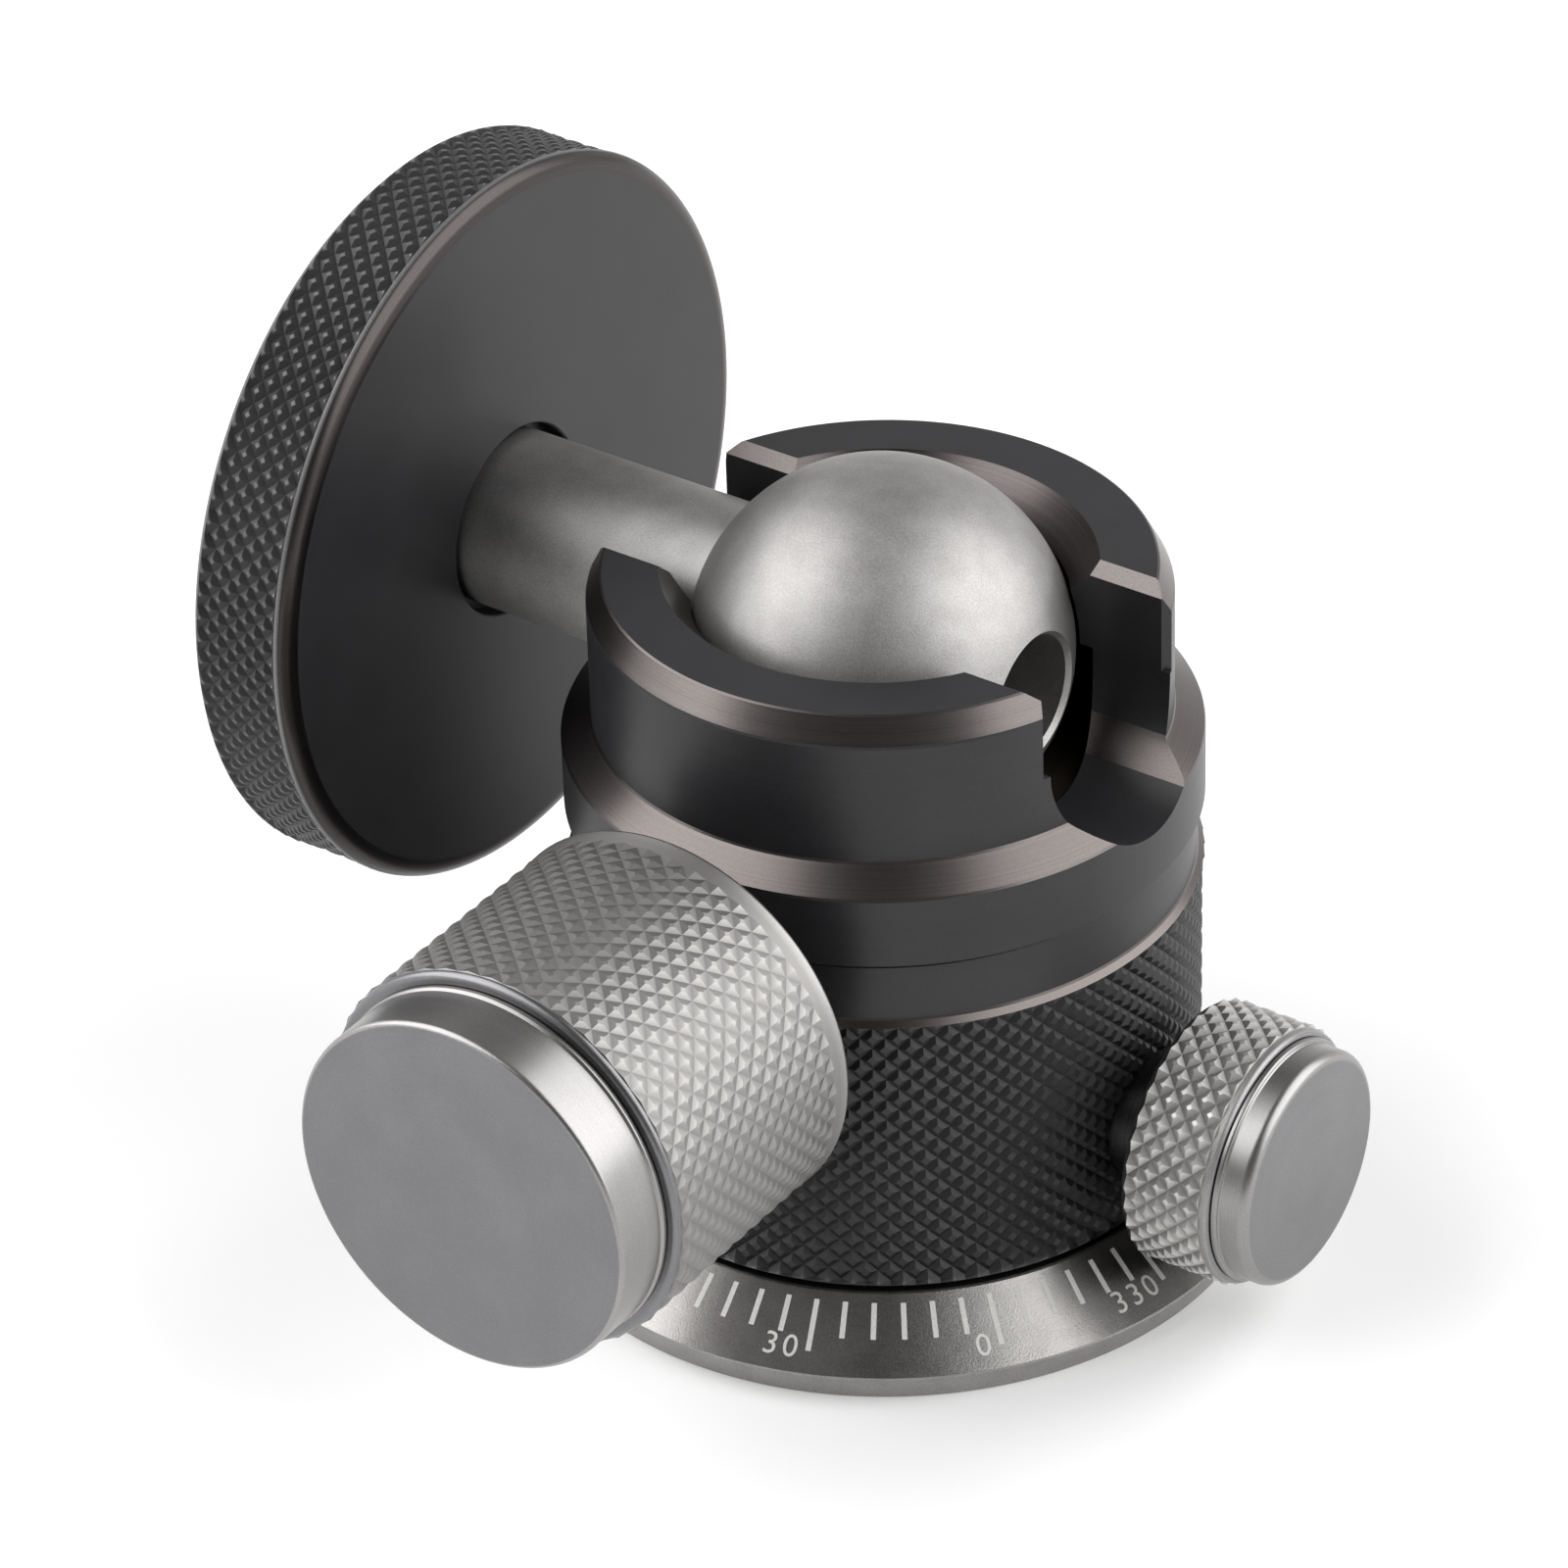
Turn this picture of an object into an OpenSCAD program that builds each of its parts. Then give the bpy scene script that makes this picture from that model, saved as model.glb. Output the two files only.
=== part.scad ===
// Ball head for a camera tripod: a slotted ball socket on a panning base.
// Z runs up the axis of the body and the origin is the centre of the base's resting face.
// The platform lies over on the -X side, the pan lock faces +X and the ball lock faces -Y.

/* [Base] */
// How far the base's widest edge stands out from the body
base_flare = 5.6; // [4.4:0.1:6.6]
// Height of the graduated ring
base_h = 6.6; // [6.2:0.1:7.4]
// Height of the widest edge above the resting face
base_edge_h = 2.4; // [1.8:0.1:3]
// How far the resting face is smaller in radius than the widest edge
base_undercut = 0.9; // [0.4:0.1:1.4]
// Radius of the plate under the base
plate_r = 21; // [19:0.5:23]
// Thickness of the plate under the base
plate_t = 3.2; // [2.8:0.1:3.8]
// Radius of the tripod thread (3/8 inch)
tripod_thread_r = 4.76; // [4.5:0.01:5]
// Outer radius of the thread bush
thread_bush_r = 6.5; // [6.1:0.1:6.7]
// Length of the thread bush
thread_bush_l = 9; // [8:0.5:10]
// Number of screws that hold the plate
plate_screws = 3; // [2:1:4]
// Radius of the circle of plate screws
plate_screw_circle = 9.8; // [9.7:0.1:10]
// Shank radius of a plate screw
plate_screw_r = 1.5; // [1.2:0.1:1.6]
// Head radius of a plate screw
plate_screw_head_r = 2.8; // [2.5:0.1:2.9]
// How far a plate screw's head lies below the face
plate_screw_sink = 0.2; // [0.1:0.1:0.4]
// How far a plate screw reaches into the spindle
plate_screw_grip = 5; // [4.5:0.1:5.5]
// Radius over the corners of a plate screw's socket
plate_screw_socket_r = 1.2; // [0.9:0.1:1.3]
// Depth of a plate screw's socket
plate_screw_socket_d = 0.9; // [0.6:0.1:1]

/* [Pan bearing] */
// Gap between the base ring and the body
pan_gap = 0.3; // [0.2:0.05:0.5]
// Radius of the spindle's neck where it passes the base ring
spindle_neck_r = 12.2; // [12:0.1:12.8]
// How much the spindle's shoulder on the base ring is smaller in radius than its flange
spindle_shoulder_step = 3.5; // [3:0.1:4.1]
// Gap between the spindle's flange and the body's bore
flange_gap = 2; // [1.5:0.1:2.6]
// Thickness of the spindle's flange
spindle_flange_t = 7; // [6.5:0.1:7.4]
// Radius of the screw's run-out hole inside the spindle
spindle_relief_r = 5.5; // [5.1:0.1:6]
// Thickness of the retaining ring under the flange
retaining_ring_t = 4.2; // [3.6:0.1:4.4]
// Thickness of the thrust washer
thrust_washer_t = 0.6; // [0.4:0.1:0.8]
// Thickness of the friction washer
friction_washer_t = 0.7; // [0.5:0.1:0.9]
// Inner radius of the friction washer
friction_washer_hole_r = 8; // [6.5:0.5:10]
// Running gap between the bearing's flat faces
bearing_gap = 0.1; // [0.05:0.05:0.15]

/* [Body] */
// Radius of the knurled barrel and of the flange above it
body_r = 25; // [24.6:0.1:26]
// Height of the knurled barrel
barrel_h = 25.2; // [24.6:0.1:26]
// Depth of the neck below the barrel's surface
neck_depth = 0.6; // [0.4:0.1:1]
// Height of the neck
neck_h = 5.2; // [4.6:0.1:5.8]
// Height of the flange
flange_h = 6; // [5.4:0.1:6.4]
// Height of the slanted shoulder above the flange
shoulder_h = 1.9; // [1.4:0.1:2.4]
// Radius of the collar round the ball
collar_r = 22.6; // [22.2:0.1:23.4]
// Height of the collar
collar_h = 12.4; // [12:0.1:12.8]
// Width of the chamfer on the collar's outer edge, across
collar_chamfer = 1.2; // [0.8:0.1:1.6]
// Height of the chamfer on the collar's outer edge
collar_chamfer_h = 2.2; // [1.6:0.1:2.6]
// Radius of the mouth at the top face
mouth_r = 16.9; // [16.4:0.1:17.5]
// Depth of the bevel round the mouth
mouth_h = 2.9; // [2.6:0.1:3.2]
// Chamfer on the body's lower edge
body_edge = 0.4; // [0.2:0.1:0.7]
// Wall of the body round the pan bearing
case_wall = 4.5; // [4:0.1:4.7]
// Thickness of the plug that closes the ball chamber
plug_t = 5; // [4.5:0.1:5.2]
// Radius of a spanner hole
spanner_hole_r = 1.5; // [1.2:0.1:1.7]
// Depth of a spanner hole
spanner_hole_d = 3; // [2.5:0.1:3.4]
// Width of a slot for the stem
slot_w = 16.8; // [16.2:0.1:17.4]
// Chamfer on the edges of the slots
slot_chamfer = 1; // [0.6:0.1:1.3]

/* [Ball] */
// Diameter of the ball
ball_d = 30; // [29.6:0.1:30.4]
// Depth of the ball's centre below the top face
ball_drop = 7.5; // [7.2:0.1:7.8]
// Gap between the ball and its seats
ball_gap = 0.3; // [0.2:0.05:0.4]
// Diameter of the stem
stem_d = 14.5; // [14:0.1:15]
// Distance from the ball's centre to the underside of the platform
stem_reach = 34.8; // [34.4:0.1:36]
// Diameter of the tool bore in the ball
ball_bore_d = 10; // [9.6:0.1:10.6]
// Distance from the ball's centre to the floor of the tool bore
ball_bore_floor = 2; // [1:0.1:3]
// Chamfer on the rim of the tool bore
ball_bore_edge = 0.5; // [0.3:0.1:0.7]
// Shank radius of the stem bolt
stem_bolt_r = 2.5; // [2.2:0.1:2.7]
// Head radius of the stem bolt
stem_bolt_head_r = 4.25; // [4:0.05:4.5]
// Head height of the stem bolt
stem_bolt_head_h = 5; // [4.4:0.1:5.4]
// Depth of the hexagon socket in a bolt head
socket_depth = 2.5; // [2:0.1:3]
// Radius over the corners of the hexagon socket
socket_r = 2.3; // [2:0.1:2.5]

/* [Clamp] */
// Radius of the bore that guides the ball cup
cup_bore_r = 16.3; // [16.1:0.1:16.6]
// Sliding clearance of the ball cup and of the pins
slide_gap = 0.08; // [0.05:0.01:0.1]
// Radius of the hole through the middle of the cup
cup_hole_r = 5; // [4:0.5:6]
// Height between the plug and the cup, for the spring washer
spring_h = 0.9; // [0.85:0.05:1.1]
// Thickness of the spring washer's material
spring_t = 0.5; // [0.4:0.05:0.6]
// Radial width of the spring washer
spring_w = 6; // [5:0.5:7]
// Radius of the lock pin
pin_r = 4.5; // [4.2:0.1:4.7]
// Length of the lock pin's cone
pin_cone_l = 5; // [4.6:0.1:5.4]
// Radius of the lock pin's nose, which sets the slope of the wedge that lifts the cup
pin_nose_r = 3.1; // [2.8:0.1:3.4]
// Distance from the cup's bore to the start of the lock pin's cone
pin_lead = 0.3; // [0.2:0.1:0.5]
// Free travel of the lock pin between its cone and the lock bush
pin_room = 1.6; // [1.4:0.1:1.8]
// Gap between the lock pin's cone and its pocket in the cup
pocket_gap = 0.3; // [0.2:0.05:0.4]

/* [Ball lock] */
// Height of the lock knob's axis above the resting face
lock_z = 32.3; // [32:0.1:32.6]
// Radius of the lock knob over its knurl
lock_knob_r = 16; // [15.4:0.1:16.6]
// Length of the lock knob without its cap
lock_knob_l = 22.1; // [20:0.1:24]
// Distance from the barrel's surface to the back of the lock knob
lock_reach = 3.5; // [3.2:0.1:4]
// Length of the plain rim at the back of the lock knob
lock_rim_l = 1.3; // [1:0.1:2]
// How much the plain rim is smaller in radius than the knurl
lock_rim_step = 0.4; // [0.2:0.1:0.6]
// Chamfer at the front of the lock knob's knurl
lock_edge = 0.5; // [0.3:0.1:0.8]
// Radius of the lock cap
lock_cap_r = 14.9; // [14.4:0.1:15.2]
// Length of the lock cap's side
lock_cap_l = 4.9; // [4:0.1:6]
// Wall between the lock knob's recess and its knurl
lock_wall = 2.6; // [2.2:0.1:3]
// Thickness of the lock knob's web
lock_web = 6; // [5:0.5:7]
// Thread radius of the lock screw
lock_screw_r = 4; // [3.8:0.1:4.2]
// Radius of the lock bush where it stands out of the barrel
lock_bush_r = 9; // [8.6:0.1:9.4]
// Radius of the lock bush inside the wall
lock_bush_shank_r = 6.5; // [6:0.1:7]
// Depth of the lock bush's shoulder below the barrel's surface
lock_seat_depth = 2; // [1.6:0.1:2.4]
// Depth of the lock bush's inner end below the barrel's surface
lock_bush_depth = 3.8; // [3.4:0.1:4.1]
// How far the lock screw stands out of its nut
lock_screw_out = 1; // [0.5:0.1:1.5]

/* [Pan lock] */
// Height of the pan knob's axis above the resting face
pan_z = 15.4; // [15.3:0.1:15.8]
// Radius of the pan knob over its knurl
pan_knob_r = 10.7; // [10:0.1:10.8]
// Length of the pan knob without its cap
pan_knob_l = 7.7; // [7.2:0.1:8.5]
// Distance from the barrel's surface to the back of the pan knob
pan_reach = 3.4; // [3.3:0.1:4]
// Chamfer on the pan knob's edges
pan_edge = 0.4; // [0.3:0.1:0.6]
// Radius of the pan cap
pan_cap_r = 9.9; // [9.4:0.1:10.2]
// Length of the pan cap's side
pan_cap_l = 2.5; // [2.2:0.1:3]
// Wall between the pan knob's recess and its knurl
pan_wall = 2.2; // [1.8:0.1:2.6]
// Thickness of the pan knob's web
pan_web = 3; // [2.5:0.1:3.4]
// Thread radius of the pan screw
pan_screw_r = 2.5; // [2.3:0.1:2.7]
// Radius of the pan bush
pan_bush_r = 5.4; // [5.2:0.1:6]
// Depth of the pan bush below the barrel's surface
pan_bush_depth = 2; // [1.7:0.1:2.1]
// How far the pan screw stands out of its nut
pan_screw_out = 0.4; // [0.2:0.1:0.6]
// Gap between the brake shoe and the spindle's flange
brake_gap = 0.3; // [0.2:0.05:0.4]
// Bevel on the front edge of the pan cap
pan_cap_bevel = 1; // [0.6:0.1:1.4]
// Radius of the brake shoe
shoe_r = 3; // [2.7:0.1:3.3]
// Length of the brake shoe
shoe_l = 3; // [2.8:0.1:3.1]

/* [Knob fittings] */
// Thickness of the washers behind the knobs
knob_washer_t = 0.5; // [0.4:0.05:0.6]
// Depth of the shadow gap between a knob and its cap
cap_groove_d = 0.6; // [0.4:0.1:0.9]
// Width of the shadow gap between a knob and its cap
cap_groove_w = 0.5; // [0.3:0.1:0.8]
// Bevel on the front edge of the lock cap
cap_bevel = 0.5; // [0.3:0.1:0.8]
// Length of a cap's spigot inside its knob
cap_spigot_l = 2; // [1.5:0.1:2.2]
// How much the lock cap's spigot is smaller in radius than its neck
cap_spigot_step = 1; // [0.6:0.1:1.4]
// Gap between a screw and the washer or pad round it
washer_gap = 0.3; // [0.2:0.05:0.4]
// Width over the corners of the nut in the lock knob
lock_nut_d = 15; // [14:0.5:16]
// Thickness of the nut in the lock knob
lock_nut_t = 6; // [5:0.5:7]
// Width over the corners of the nut in the pan knob
pan_nut_d = 9.2; // [8.6:0.1:10]
// Thickness of the nut in the pan knob
pan_nut_t = 2; // [1.8:0.1:2.2]

/* [Platform] */
// Radius of the platform
platform_r = 30; // [29:0.1:31]
// Thickness of the platform
platform_t = 9.3; // [9:0.1:10]
// Chamfer round the underside of the platform
platform_chamfer = 1.2; // [0.8:0.1:1.6]
// Chamfer round the top of the platform
platform_top_edge = 0.8; // [0.5:0.1:1.2]
// Gap round the foot of the stem
foot_gap = 0.7; // [0.5:0.1:1]
// Depth of the recess for the foot of the stem
foot_depth = 1.7; // [1.4:0.1:2]
// Gap between the stem's end and the floor of its recess
foot_seat_gap = 0.3; // [0.2:0.05:0.4]
// How far the stem bolt reaches into the platform
stem_bolt_reach = 3.8; // [3.4:0.1:4]
// Radius of the pad on the platform
pad_r = 26.5; // [25:0.1:28]
// Thickness of the pad
pad_t = 1.5; // [1.2:0.1:2]
// Depth of the pad's recess
pad_recess = 0.7; // [0.5:0.1:0.9]
// Radius of the camera stud (1/4 inch)
stud_r = 3.175; // [3:0.005:3.4]
// How far the camera stud stands out of the pad
stud_out = 5.4; // [4.5:0.1:6]
// Radius of the camera stud's root inside the platform
stud_root_r = 4.5; // [4.2:0.1:5]
// Chamfer on the tip of the camera stud
stud_chamfer = 0.6; // [0.4:0.1:0.8]
// Depth of the camera stud inside the platform
stud_in = 2.6; // [2.4:0.1:2.8]

/* [Hidden] */
$fn = 96;
// Overshoot of a cut past the face that it opens
cut = 1;
// Overlap between two cuts that meet on one face
meet = 0.001;
// Radial clearance between pieces that are fixed to each other
fit = 0.05;
// Free length of a hole past the end of the screw in it
screw_runout = 1;

// Height at which a plate screw's countersunk head ends
plate_screw_cone_end = plate_screw_sink + plate_screw_head_r - plate_screw_r;

// Heights of the body's steps, from the resting face up
body_z = base_h + pan_gap;
barrel_z = body_z + barrel_h;
neck_z = barrel_z + neck_h;
flange_z = neck_z + flange_h;
shoulder_z = flange_z + shoulder_h;
top_z = shoulder_z + collar_h;
base_r = body_r + base_flare;
neck_r = body_r - neck_depth;
case_bore_r = body_r - case_wall;
spindle_flange_r = case_bore_r - flange_gap;
spindle_shoulder_r = spindle_flange_r - spindle_shoulder_step;

// Ball and its chamber, where bore_rim is the distance from the ball's centre to the tool bore's rim
ball_r = ball_d / 2;
ball_z = top_z - ball_drop;
seat_r = ball_r + ball_gap;
lip_z = top_z - mouth_h;
lip_r = sqrt(pow(seat_r, 2) - pow(lip_z - ball_z, 2));
stem_r = stem_d / 2;
bore_r = ball_bore_d / 2;
bore_rim = sqrt(pow(ball_r, 2) - pow(bore_r, 2));
cup_top_z = ball_z - slot_w / 2;
cup_r = cup_bore_r - slide_gap;

// Pan bearing, from the retaining ring up
ring_z = body_z + body_edge;
thrust_z = ring_z + retaining_ring_t + bearing_gap;
spindle_flange_z = thrust_z + thrust_washer_t + bearing_gap;
spindle_top_z = spindle_flange_z + spindle_flange_t;
friction_z = spindle_top_z + bearing_gap;
plug_z = friction_z + friction_washer_t + bearing_gap;
plug_top_z = plug_z + plug_t;
cup_z = plug_top_z + spring_h;
spanner_circle = (spindle_shoulder_r + case_bore_r) / 2;

// Lock pin and screw, as distances from the body's axis
lock_bush_seat = body_r - lock_seat_depth;
lock_bush_end = body_r - lock_bush_depth;
pin_back = lock_bush_end - pin_room;
pin_front = cup_bore_r + pin_lead;
pin_nose = pin_front - pin_cone_l;
lock_screw_end = pin_back + bearing_gap;
lock_back = body_r + lock_reach;
lock_bush_face = lock_back - knob_washer_t - bearing_gap;
lock_front = lock_back + lock_knob_l;
lock_recess_r = lock_cap_r - cap_groove_d - cap_spigot_step;

// Brake shoe and pan screw, as distances from the body's axis
shoe_front = spindle_flange_r + brake_gap;
shoe_back = shoe_front + shoe_l;
pan_screw_end = shoe_back + bearing_gap;
pan_bush_end = body_r - pan_bush_depth;
pan_back = body_r + pan_reach;
pan_bush_face = pan_back - knob_washer_t - bearing_gap;
pan_front = pan_back + pan_knob_l;
pan_recess_r = pan_knob_r - pan_wall;

// Platform, as distances from the ball's centre along the stem
stem_end = stem_reach + foot_depth - foot_seat_gap;
foot_floor = stem_reach + foot_depth;
platform_top = stem_reach + platform_t;
pad_floor = platform_top - pad_recess;
pad_top = pad_floor + pad_t;
stud_floor = pad_floor - stud_in;
stud_tip = pad_top + stud_out;

// Stands a shape on the body's axis and points it at the ball lock, the pan lock or the platform
module toward_lock() translate([0, 0, lock_z]) rotate([90, 0, 0]) children();
module toward_pan() translate([0, 0, pan_z]) rotate([0, 90, 0]) children();
module toward_platform() translate([0, 0, ball_z]) rotate([0, -90, 0]) children();
module toward_slot() translate([0, 0, ball_z]) rotate([0, 90, 0]) children();

// A cylinder between two distances along its axis
module rod(r, from, to) translate([0, 0, from]) cylinder(h = to - from, r = r);

// A cone between two distances along its axis
module cone(r_from, r_to, from, to) translate([0, 0, from]) cylinder(h = to - from, r1 = r_from, r2 = r_to);

// A flat ring
module ring(r_out, r_in, from, to) difference() {
    rod(r_out, from, to);
    rod(r_in, from - cut, to + cut);
}

// Copies a shape round the axis at a radius
module around(count, radius) for (i = [0 : count - 1])
    rotate(i * 360 / count) translate([radius, 0, 0]) children();

// Plate screws at their places
module at_plate_screws() around(plate_screws, plate_screw_circle) children();

module base_ring() color([0.56, 0.54, 0.51]) difference() {
    rotate_extrude() polygon([
        [0, 0], [base_r - base_undercut, 0], [base_r, base_edge_h], [body_r, base_h], [0, base_h]]);
    rod(plate_r + fit, -cut, plate_t);
    rod(spindle_neck_r + fit, 0, base_h + cut);
}

module base_plate() color([0.16, 0.16, 0.17]) difference() {
    rod(plate_r, 0, plate_t);
    rod(thread_bush_r + fit, -cut, plate_t + cut);
    at_plate_screws() plate_screw_hole();
}

// Hole and countersink for one plate screw
module plate_screw_hole() {
    rod(plate_screw_r + 2 * fit, -cut, plate_t + cut);
    rod(plate_screw_head_r + 2 * fit, -cut, plate_screw_sink + meet);
    cone(plate_screw_head_r + 2 * fit, plate_screw_r + 2 * fit, plate_screw_sink, plate_screw_cone_end);
}

module thread_bush() color([0.78, 0.66, 0.36]) difference() {
    rod(thread_bush_r, 0, thread_bush_l);
    rod(tripod_thread_r, -cut, thread_bush_l + cut);
}

module base_screws() color([0.3, 0.3, 0.32]) at_plate_screws() difference() {
    union() {
        cone(plate_screw_head_r, plate_screw_r, plate_screw_sink, plate_screw_cone_end);
        rod(plate_screw_r, plate_screw_sink, plate_t + plate_screw_grip);
    }
    translate([0, 0, -cut])
        cylinder(h = cut + plate_screw_sink + plate_screw_socket_d, r = plate_screw_socket_r, $fn = 6);
}

module pan_spindle() color([0.62, 0.62, 0.64]) difference() {
    union() {
        rod(spindle_neck_r, plate_t, base_h);
        rod(spindle_shoulder_r, base_h, spindle_flange_z);
        rod(spindle_flange_r, spindle_flange_z, spindle_top_z);
    }
    rod(thread_bush_r + 2 * fit, plate_t - cut, thread_bush_l + bearing_gap);
    rod(spindle_relief_r, plate_t, spindle_top_z + cut);
    at_plate_screws() rod(plate_screw_r + fit, plate_t - cut, plate_t + plate_screw_grip + screw_runout);
}

// Outline of the body turned about its axis
module body_blank() rotate_extrude() polygon([
    [0, body_z], [body_r - body_edge, body_z], [body_r, body_z + body_edge],
    [body_r, barrel_z - neck_depth], [neck_r, barrel_z], [neck_r, neck_z], [body_r, neck_z],
    [body_r, flange_z], [collar_r, shoulder_z], [collar_r, top_z - collar_chamfer_h],
    [collar_r - collar_chamfer, top_z], [0, top_z]]);

// Chamber of the ball, with the bore below it for the cup
module ball_chamber() {
    translate([0, 0, ball_z]) sphere(r = seat_r);
    rod(cup_bore_r, plug_top_z - cut, ball_z);
    rod(case_bore_r, body_z - cut, plug_top_z);
    cone(lip_r, mouth_r, lip_z, top_z);
    rod(mouth_r, top_z - meet, top_z + cut);
}

// Cross-section of a slot above the ball's centre, flared at the top face
module slot_section() polygon([
    [-slot_w / 2, 0], [-slot_w / 2, ball_drop - slot_chamfer], [-slot_w / 2 - slot_chamfer, ball_drop],
    [-slot_w / 2 - slot_chamfer, ball_drop + cut], [slot_w / 2 + slot_chamfer, ball_drop + cut],
    [slot_w / 2 + slot_chamfer, ball_drop], [slot_w / 2, ball_drop - slot_chamfer], [slot_w / 2, 0]]);

// Bevel on the upright edge between a slot's wall and the collar
module slot_edge() {
    edge_x = sqrt(pow(collar_r, 2) - pow(slot_w / 2, 2));
    translate([0, 0, ball_z]) linear_extrude(height = ball_drop + cut) polygon([
        [edge_x - slot_chamfer, slot_w / 2 - meet],
        [edge_x + slot_chamfer, slot_w / 2 - meet],
        [edge_x + slot_chamfer, slot_w / 2 + 2 * slot_chamfer]]);
}

// Slot for the stem, cut from the ball's chamber outward toward +X
module slot_cut() {
    toward_slot() rod(slot_w / 2, 0, body_r + cut);
    translate([0, 0, ball_z]) rotate([90, 0, 90]) linear_extrude(height = body_r + cut) slot_section();
    slot_edge();
    mirror([0, 1, 0]) slot_edge();
}

module ball_housing() color([0.1, 0.1, 0.11]) difference() {
    body_blank();
    ball_chamber();
    slot_cut();
    mirror([1, 0, 0]) slot_cut();
    toward_lock() rod(pin_r + slide_gap, cup_bore_r - cut, lock_bush_end);
    toward_lock() rod(lock_bush_shank_r + fit, lock_bush_end, lock_bush_seat);
    toward_lock() rod(lock_bush_r + fit, lock_bush_seat, body_r + cut);
    toward_pan() rod(shoe_r + slide_gap, case_bore_r - cut, pan_bush_end);
    toward_pan() rod(pan_bush_r + fit, pan_bush_end, body_r + cut);
}

module chamber_plug() color([0.35, 0.35, 0.37]) difference() {
    rod(case_bore_r - fit, plug_z, plug_top_z);
    around(2, spanner_circle) rod(spanner_hole_r, plug_z - cut, plug_z + spanner_hole_d);
}

module retaining_ring() color([0.3, 0.3, 0.32]) difference() {
    ring(case_bore_r - fit, spindle_shoulder_r + bearing_gap, ring_z, ring_z + retaining_ring_t);
    around(2, spanner_circle) rod(spanner_hole_r, ring_z - cut, ring_z + spanner_hole_d);
}

module thrust_washer() color([0.85, 0.83, 0.78])
    ring(spindle_flange_r, spindle_shoulder_r + bearing_gap, thrust_z, thrust_z + thrust_washer_t);

module friction_washer() color([0.85, 0.83, 0.78])
    ring(spindle_flange_r, friction_washer_hole_r, friction_z, friction_z + friction_washer_t);

module lock_bush() color([0.5, 0.5, 0.52]) toward_lock() difference() {
    union() {
        rod(lock_bush_shank_r, lock_bush_end, lock_bush_seat);
        rod(lock_bush_r, lock_bush_seat, lock_bush_face);
    }
    rod(lock_screw_r + slide_gap, lock_bush_end - cut, lock_bush_face + cut);
}

module pan_bush() color([0.5, 0.5, 0.52])
    toward_pan() ring(pan_bush_r, pan_screw_r + slide_gap, pan_bush_end, pan_bush_face);

module ball_cup() color([0.8, 0.68, 0.4]) difference() {
    rod(cup_r, cup_z, cup_top_z);
    translate([0, 0, ball_z]) sphere(r = seat_r);
    rod(cup_hole_r, cup_z - cut, ball_z);
    toward_lock() cone(pin_nose_r + pocket_gap, pin_r + pocket_gap, pin_nose, pin_front);
    toward_lock() rod(pin_nose_r + pocket_gap, pin_nose - pocket_gap, pin_nose + meet);
}

// Dished washer that pushes the cup up from the plug
module spring_washer() color([0.6, 0.6, 0.62]) {
    low = plug_top_z + bearing_gap;
    high = cup_z - bearing_gap;
    rotate_extrude() polygon([
        [cup_r - fit, low], [cup_r - fit, low + spring_t],
        [cup_r - spring_w, high], [cup_r - spring_w, high - spring_t]]);
}

module lock_pin() color([0.62, 0.62, 0.64]) toward_lock() {
    rod(pin_r, pin_front, pin_back);
    cone(pin_nose_r, pin_r, pin_nose, pin_front);
}

module lock_knob() color([0.72, 0.71, 0.7]) toward_lock() difference() {
    rotate_extrude() polygon([
        [0, lock_back], [lock_knob_r - lock_rim_step, lock_back],
        [lock_knob_r - lock_rim_step, lock_back + lock_rim_l],
        [lock_knob_r, lock_back + lock_rim_l + lock_rim_step],
        [lock_knob_r, lock_front - lock_edge], [lock_knob_r - lock_edge, lock_front], [0, lock_front]]);
    rod(lock_recess_r + fit, lock_front - cap_spigot_l - bearing_gap, lock_front + cut);
    rod(min(lock_recess_r, lock_knob_r - lock_wall), lock_back + lock_web, lock_front);
    rod(lock_screw_r + fit, lock_back - cut, lock_front);
}

module lock_cap() color([0.66, 0.65, 0.65]) toward_lock() {
    face = lock_front + cap_groove_w + lock_cap_l;
    rotate_extrude() polygon([
        [0, lock_front - cap_spigot_l], [lock_recess_r, lock_front - cap_spigot_l],
        [lock_recess_r, lock_front], [lock_cap_r - cap_groove_d, lock_front],
        [lock_cap_r - cap_groove_d, lock_front + cap_groove_w],
        [lock_cap_r, lock_front + cap_groove_w], [lock_cap_r, face - cap_bevel],
        [lock_cap_r - cap_bevel, face], [0, face]]);
}

module lock_screw() color([0.5, 0.5, 0.52])
    toward_lock() rod(lock_screw_r, lock_screw_end, lock_back + lock_web + lock_nut_t + lock_screw_out);

module lock_nut() color([0.5, 0.5, 0.52]) toward_lock() difference() {
    translate([0, 0, lock_back + lock_web]) cylinder(h = lock_nut_t, d = lock_nut_d, $fn = 6);
    rod(lock_screw_r + fit, lock_back, lock_back + lock_web + lock_nut_t + cut);
}

module lock_washer() color([0.9, 0.9, 0.88])
    toward_lock() ring(lock_bush_r, lock_screw_r + washer_gap, lock_back - knob_washer_t, lock_back);

module brake_shoe() color([0.8, 0.68, 0.4]) toward_pan() rod(shoe_r, shoe_front, shoe_back);

module pan_knob() color([0.72, 0.71, 0.7]) toward_pan() difference() {
    rotate_extrude() polygon([
        [0, pan_back], [pan_knob_r - pan_edge, pan_back], [pan_knob_r, pan_back + pan_edge],
        [pan_knob_r, pan_front - pan_edge], [pan_knob_r - pan_edge, pan_front], [0, pan_front]]);
    rod(pan_recess_r + fit, pan_back + pan_web, pan_front + cut);
    rod(pan_screw_r + fit, pan_back - cut, pan_front);
}

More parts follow.
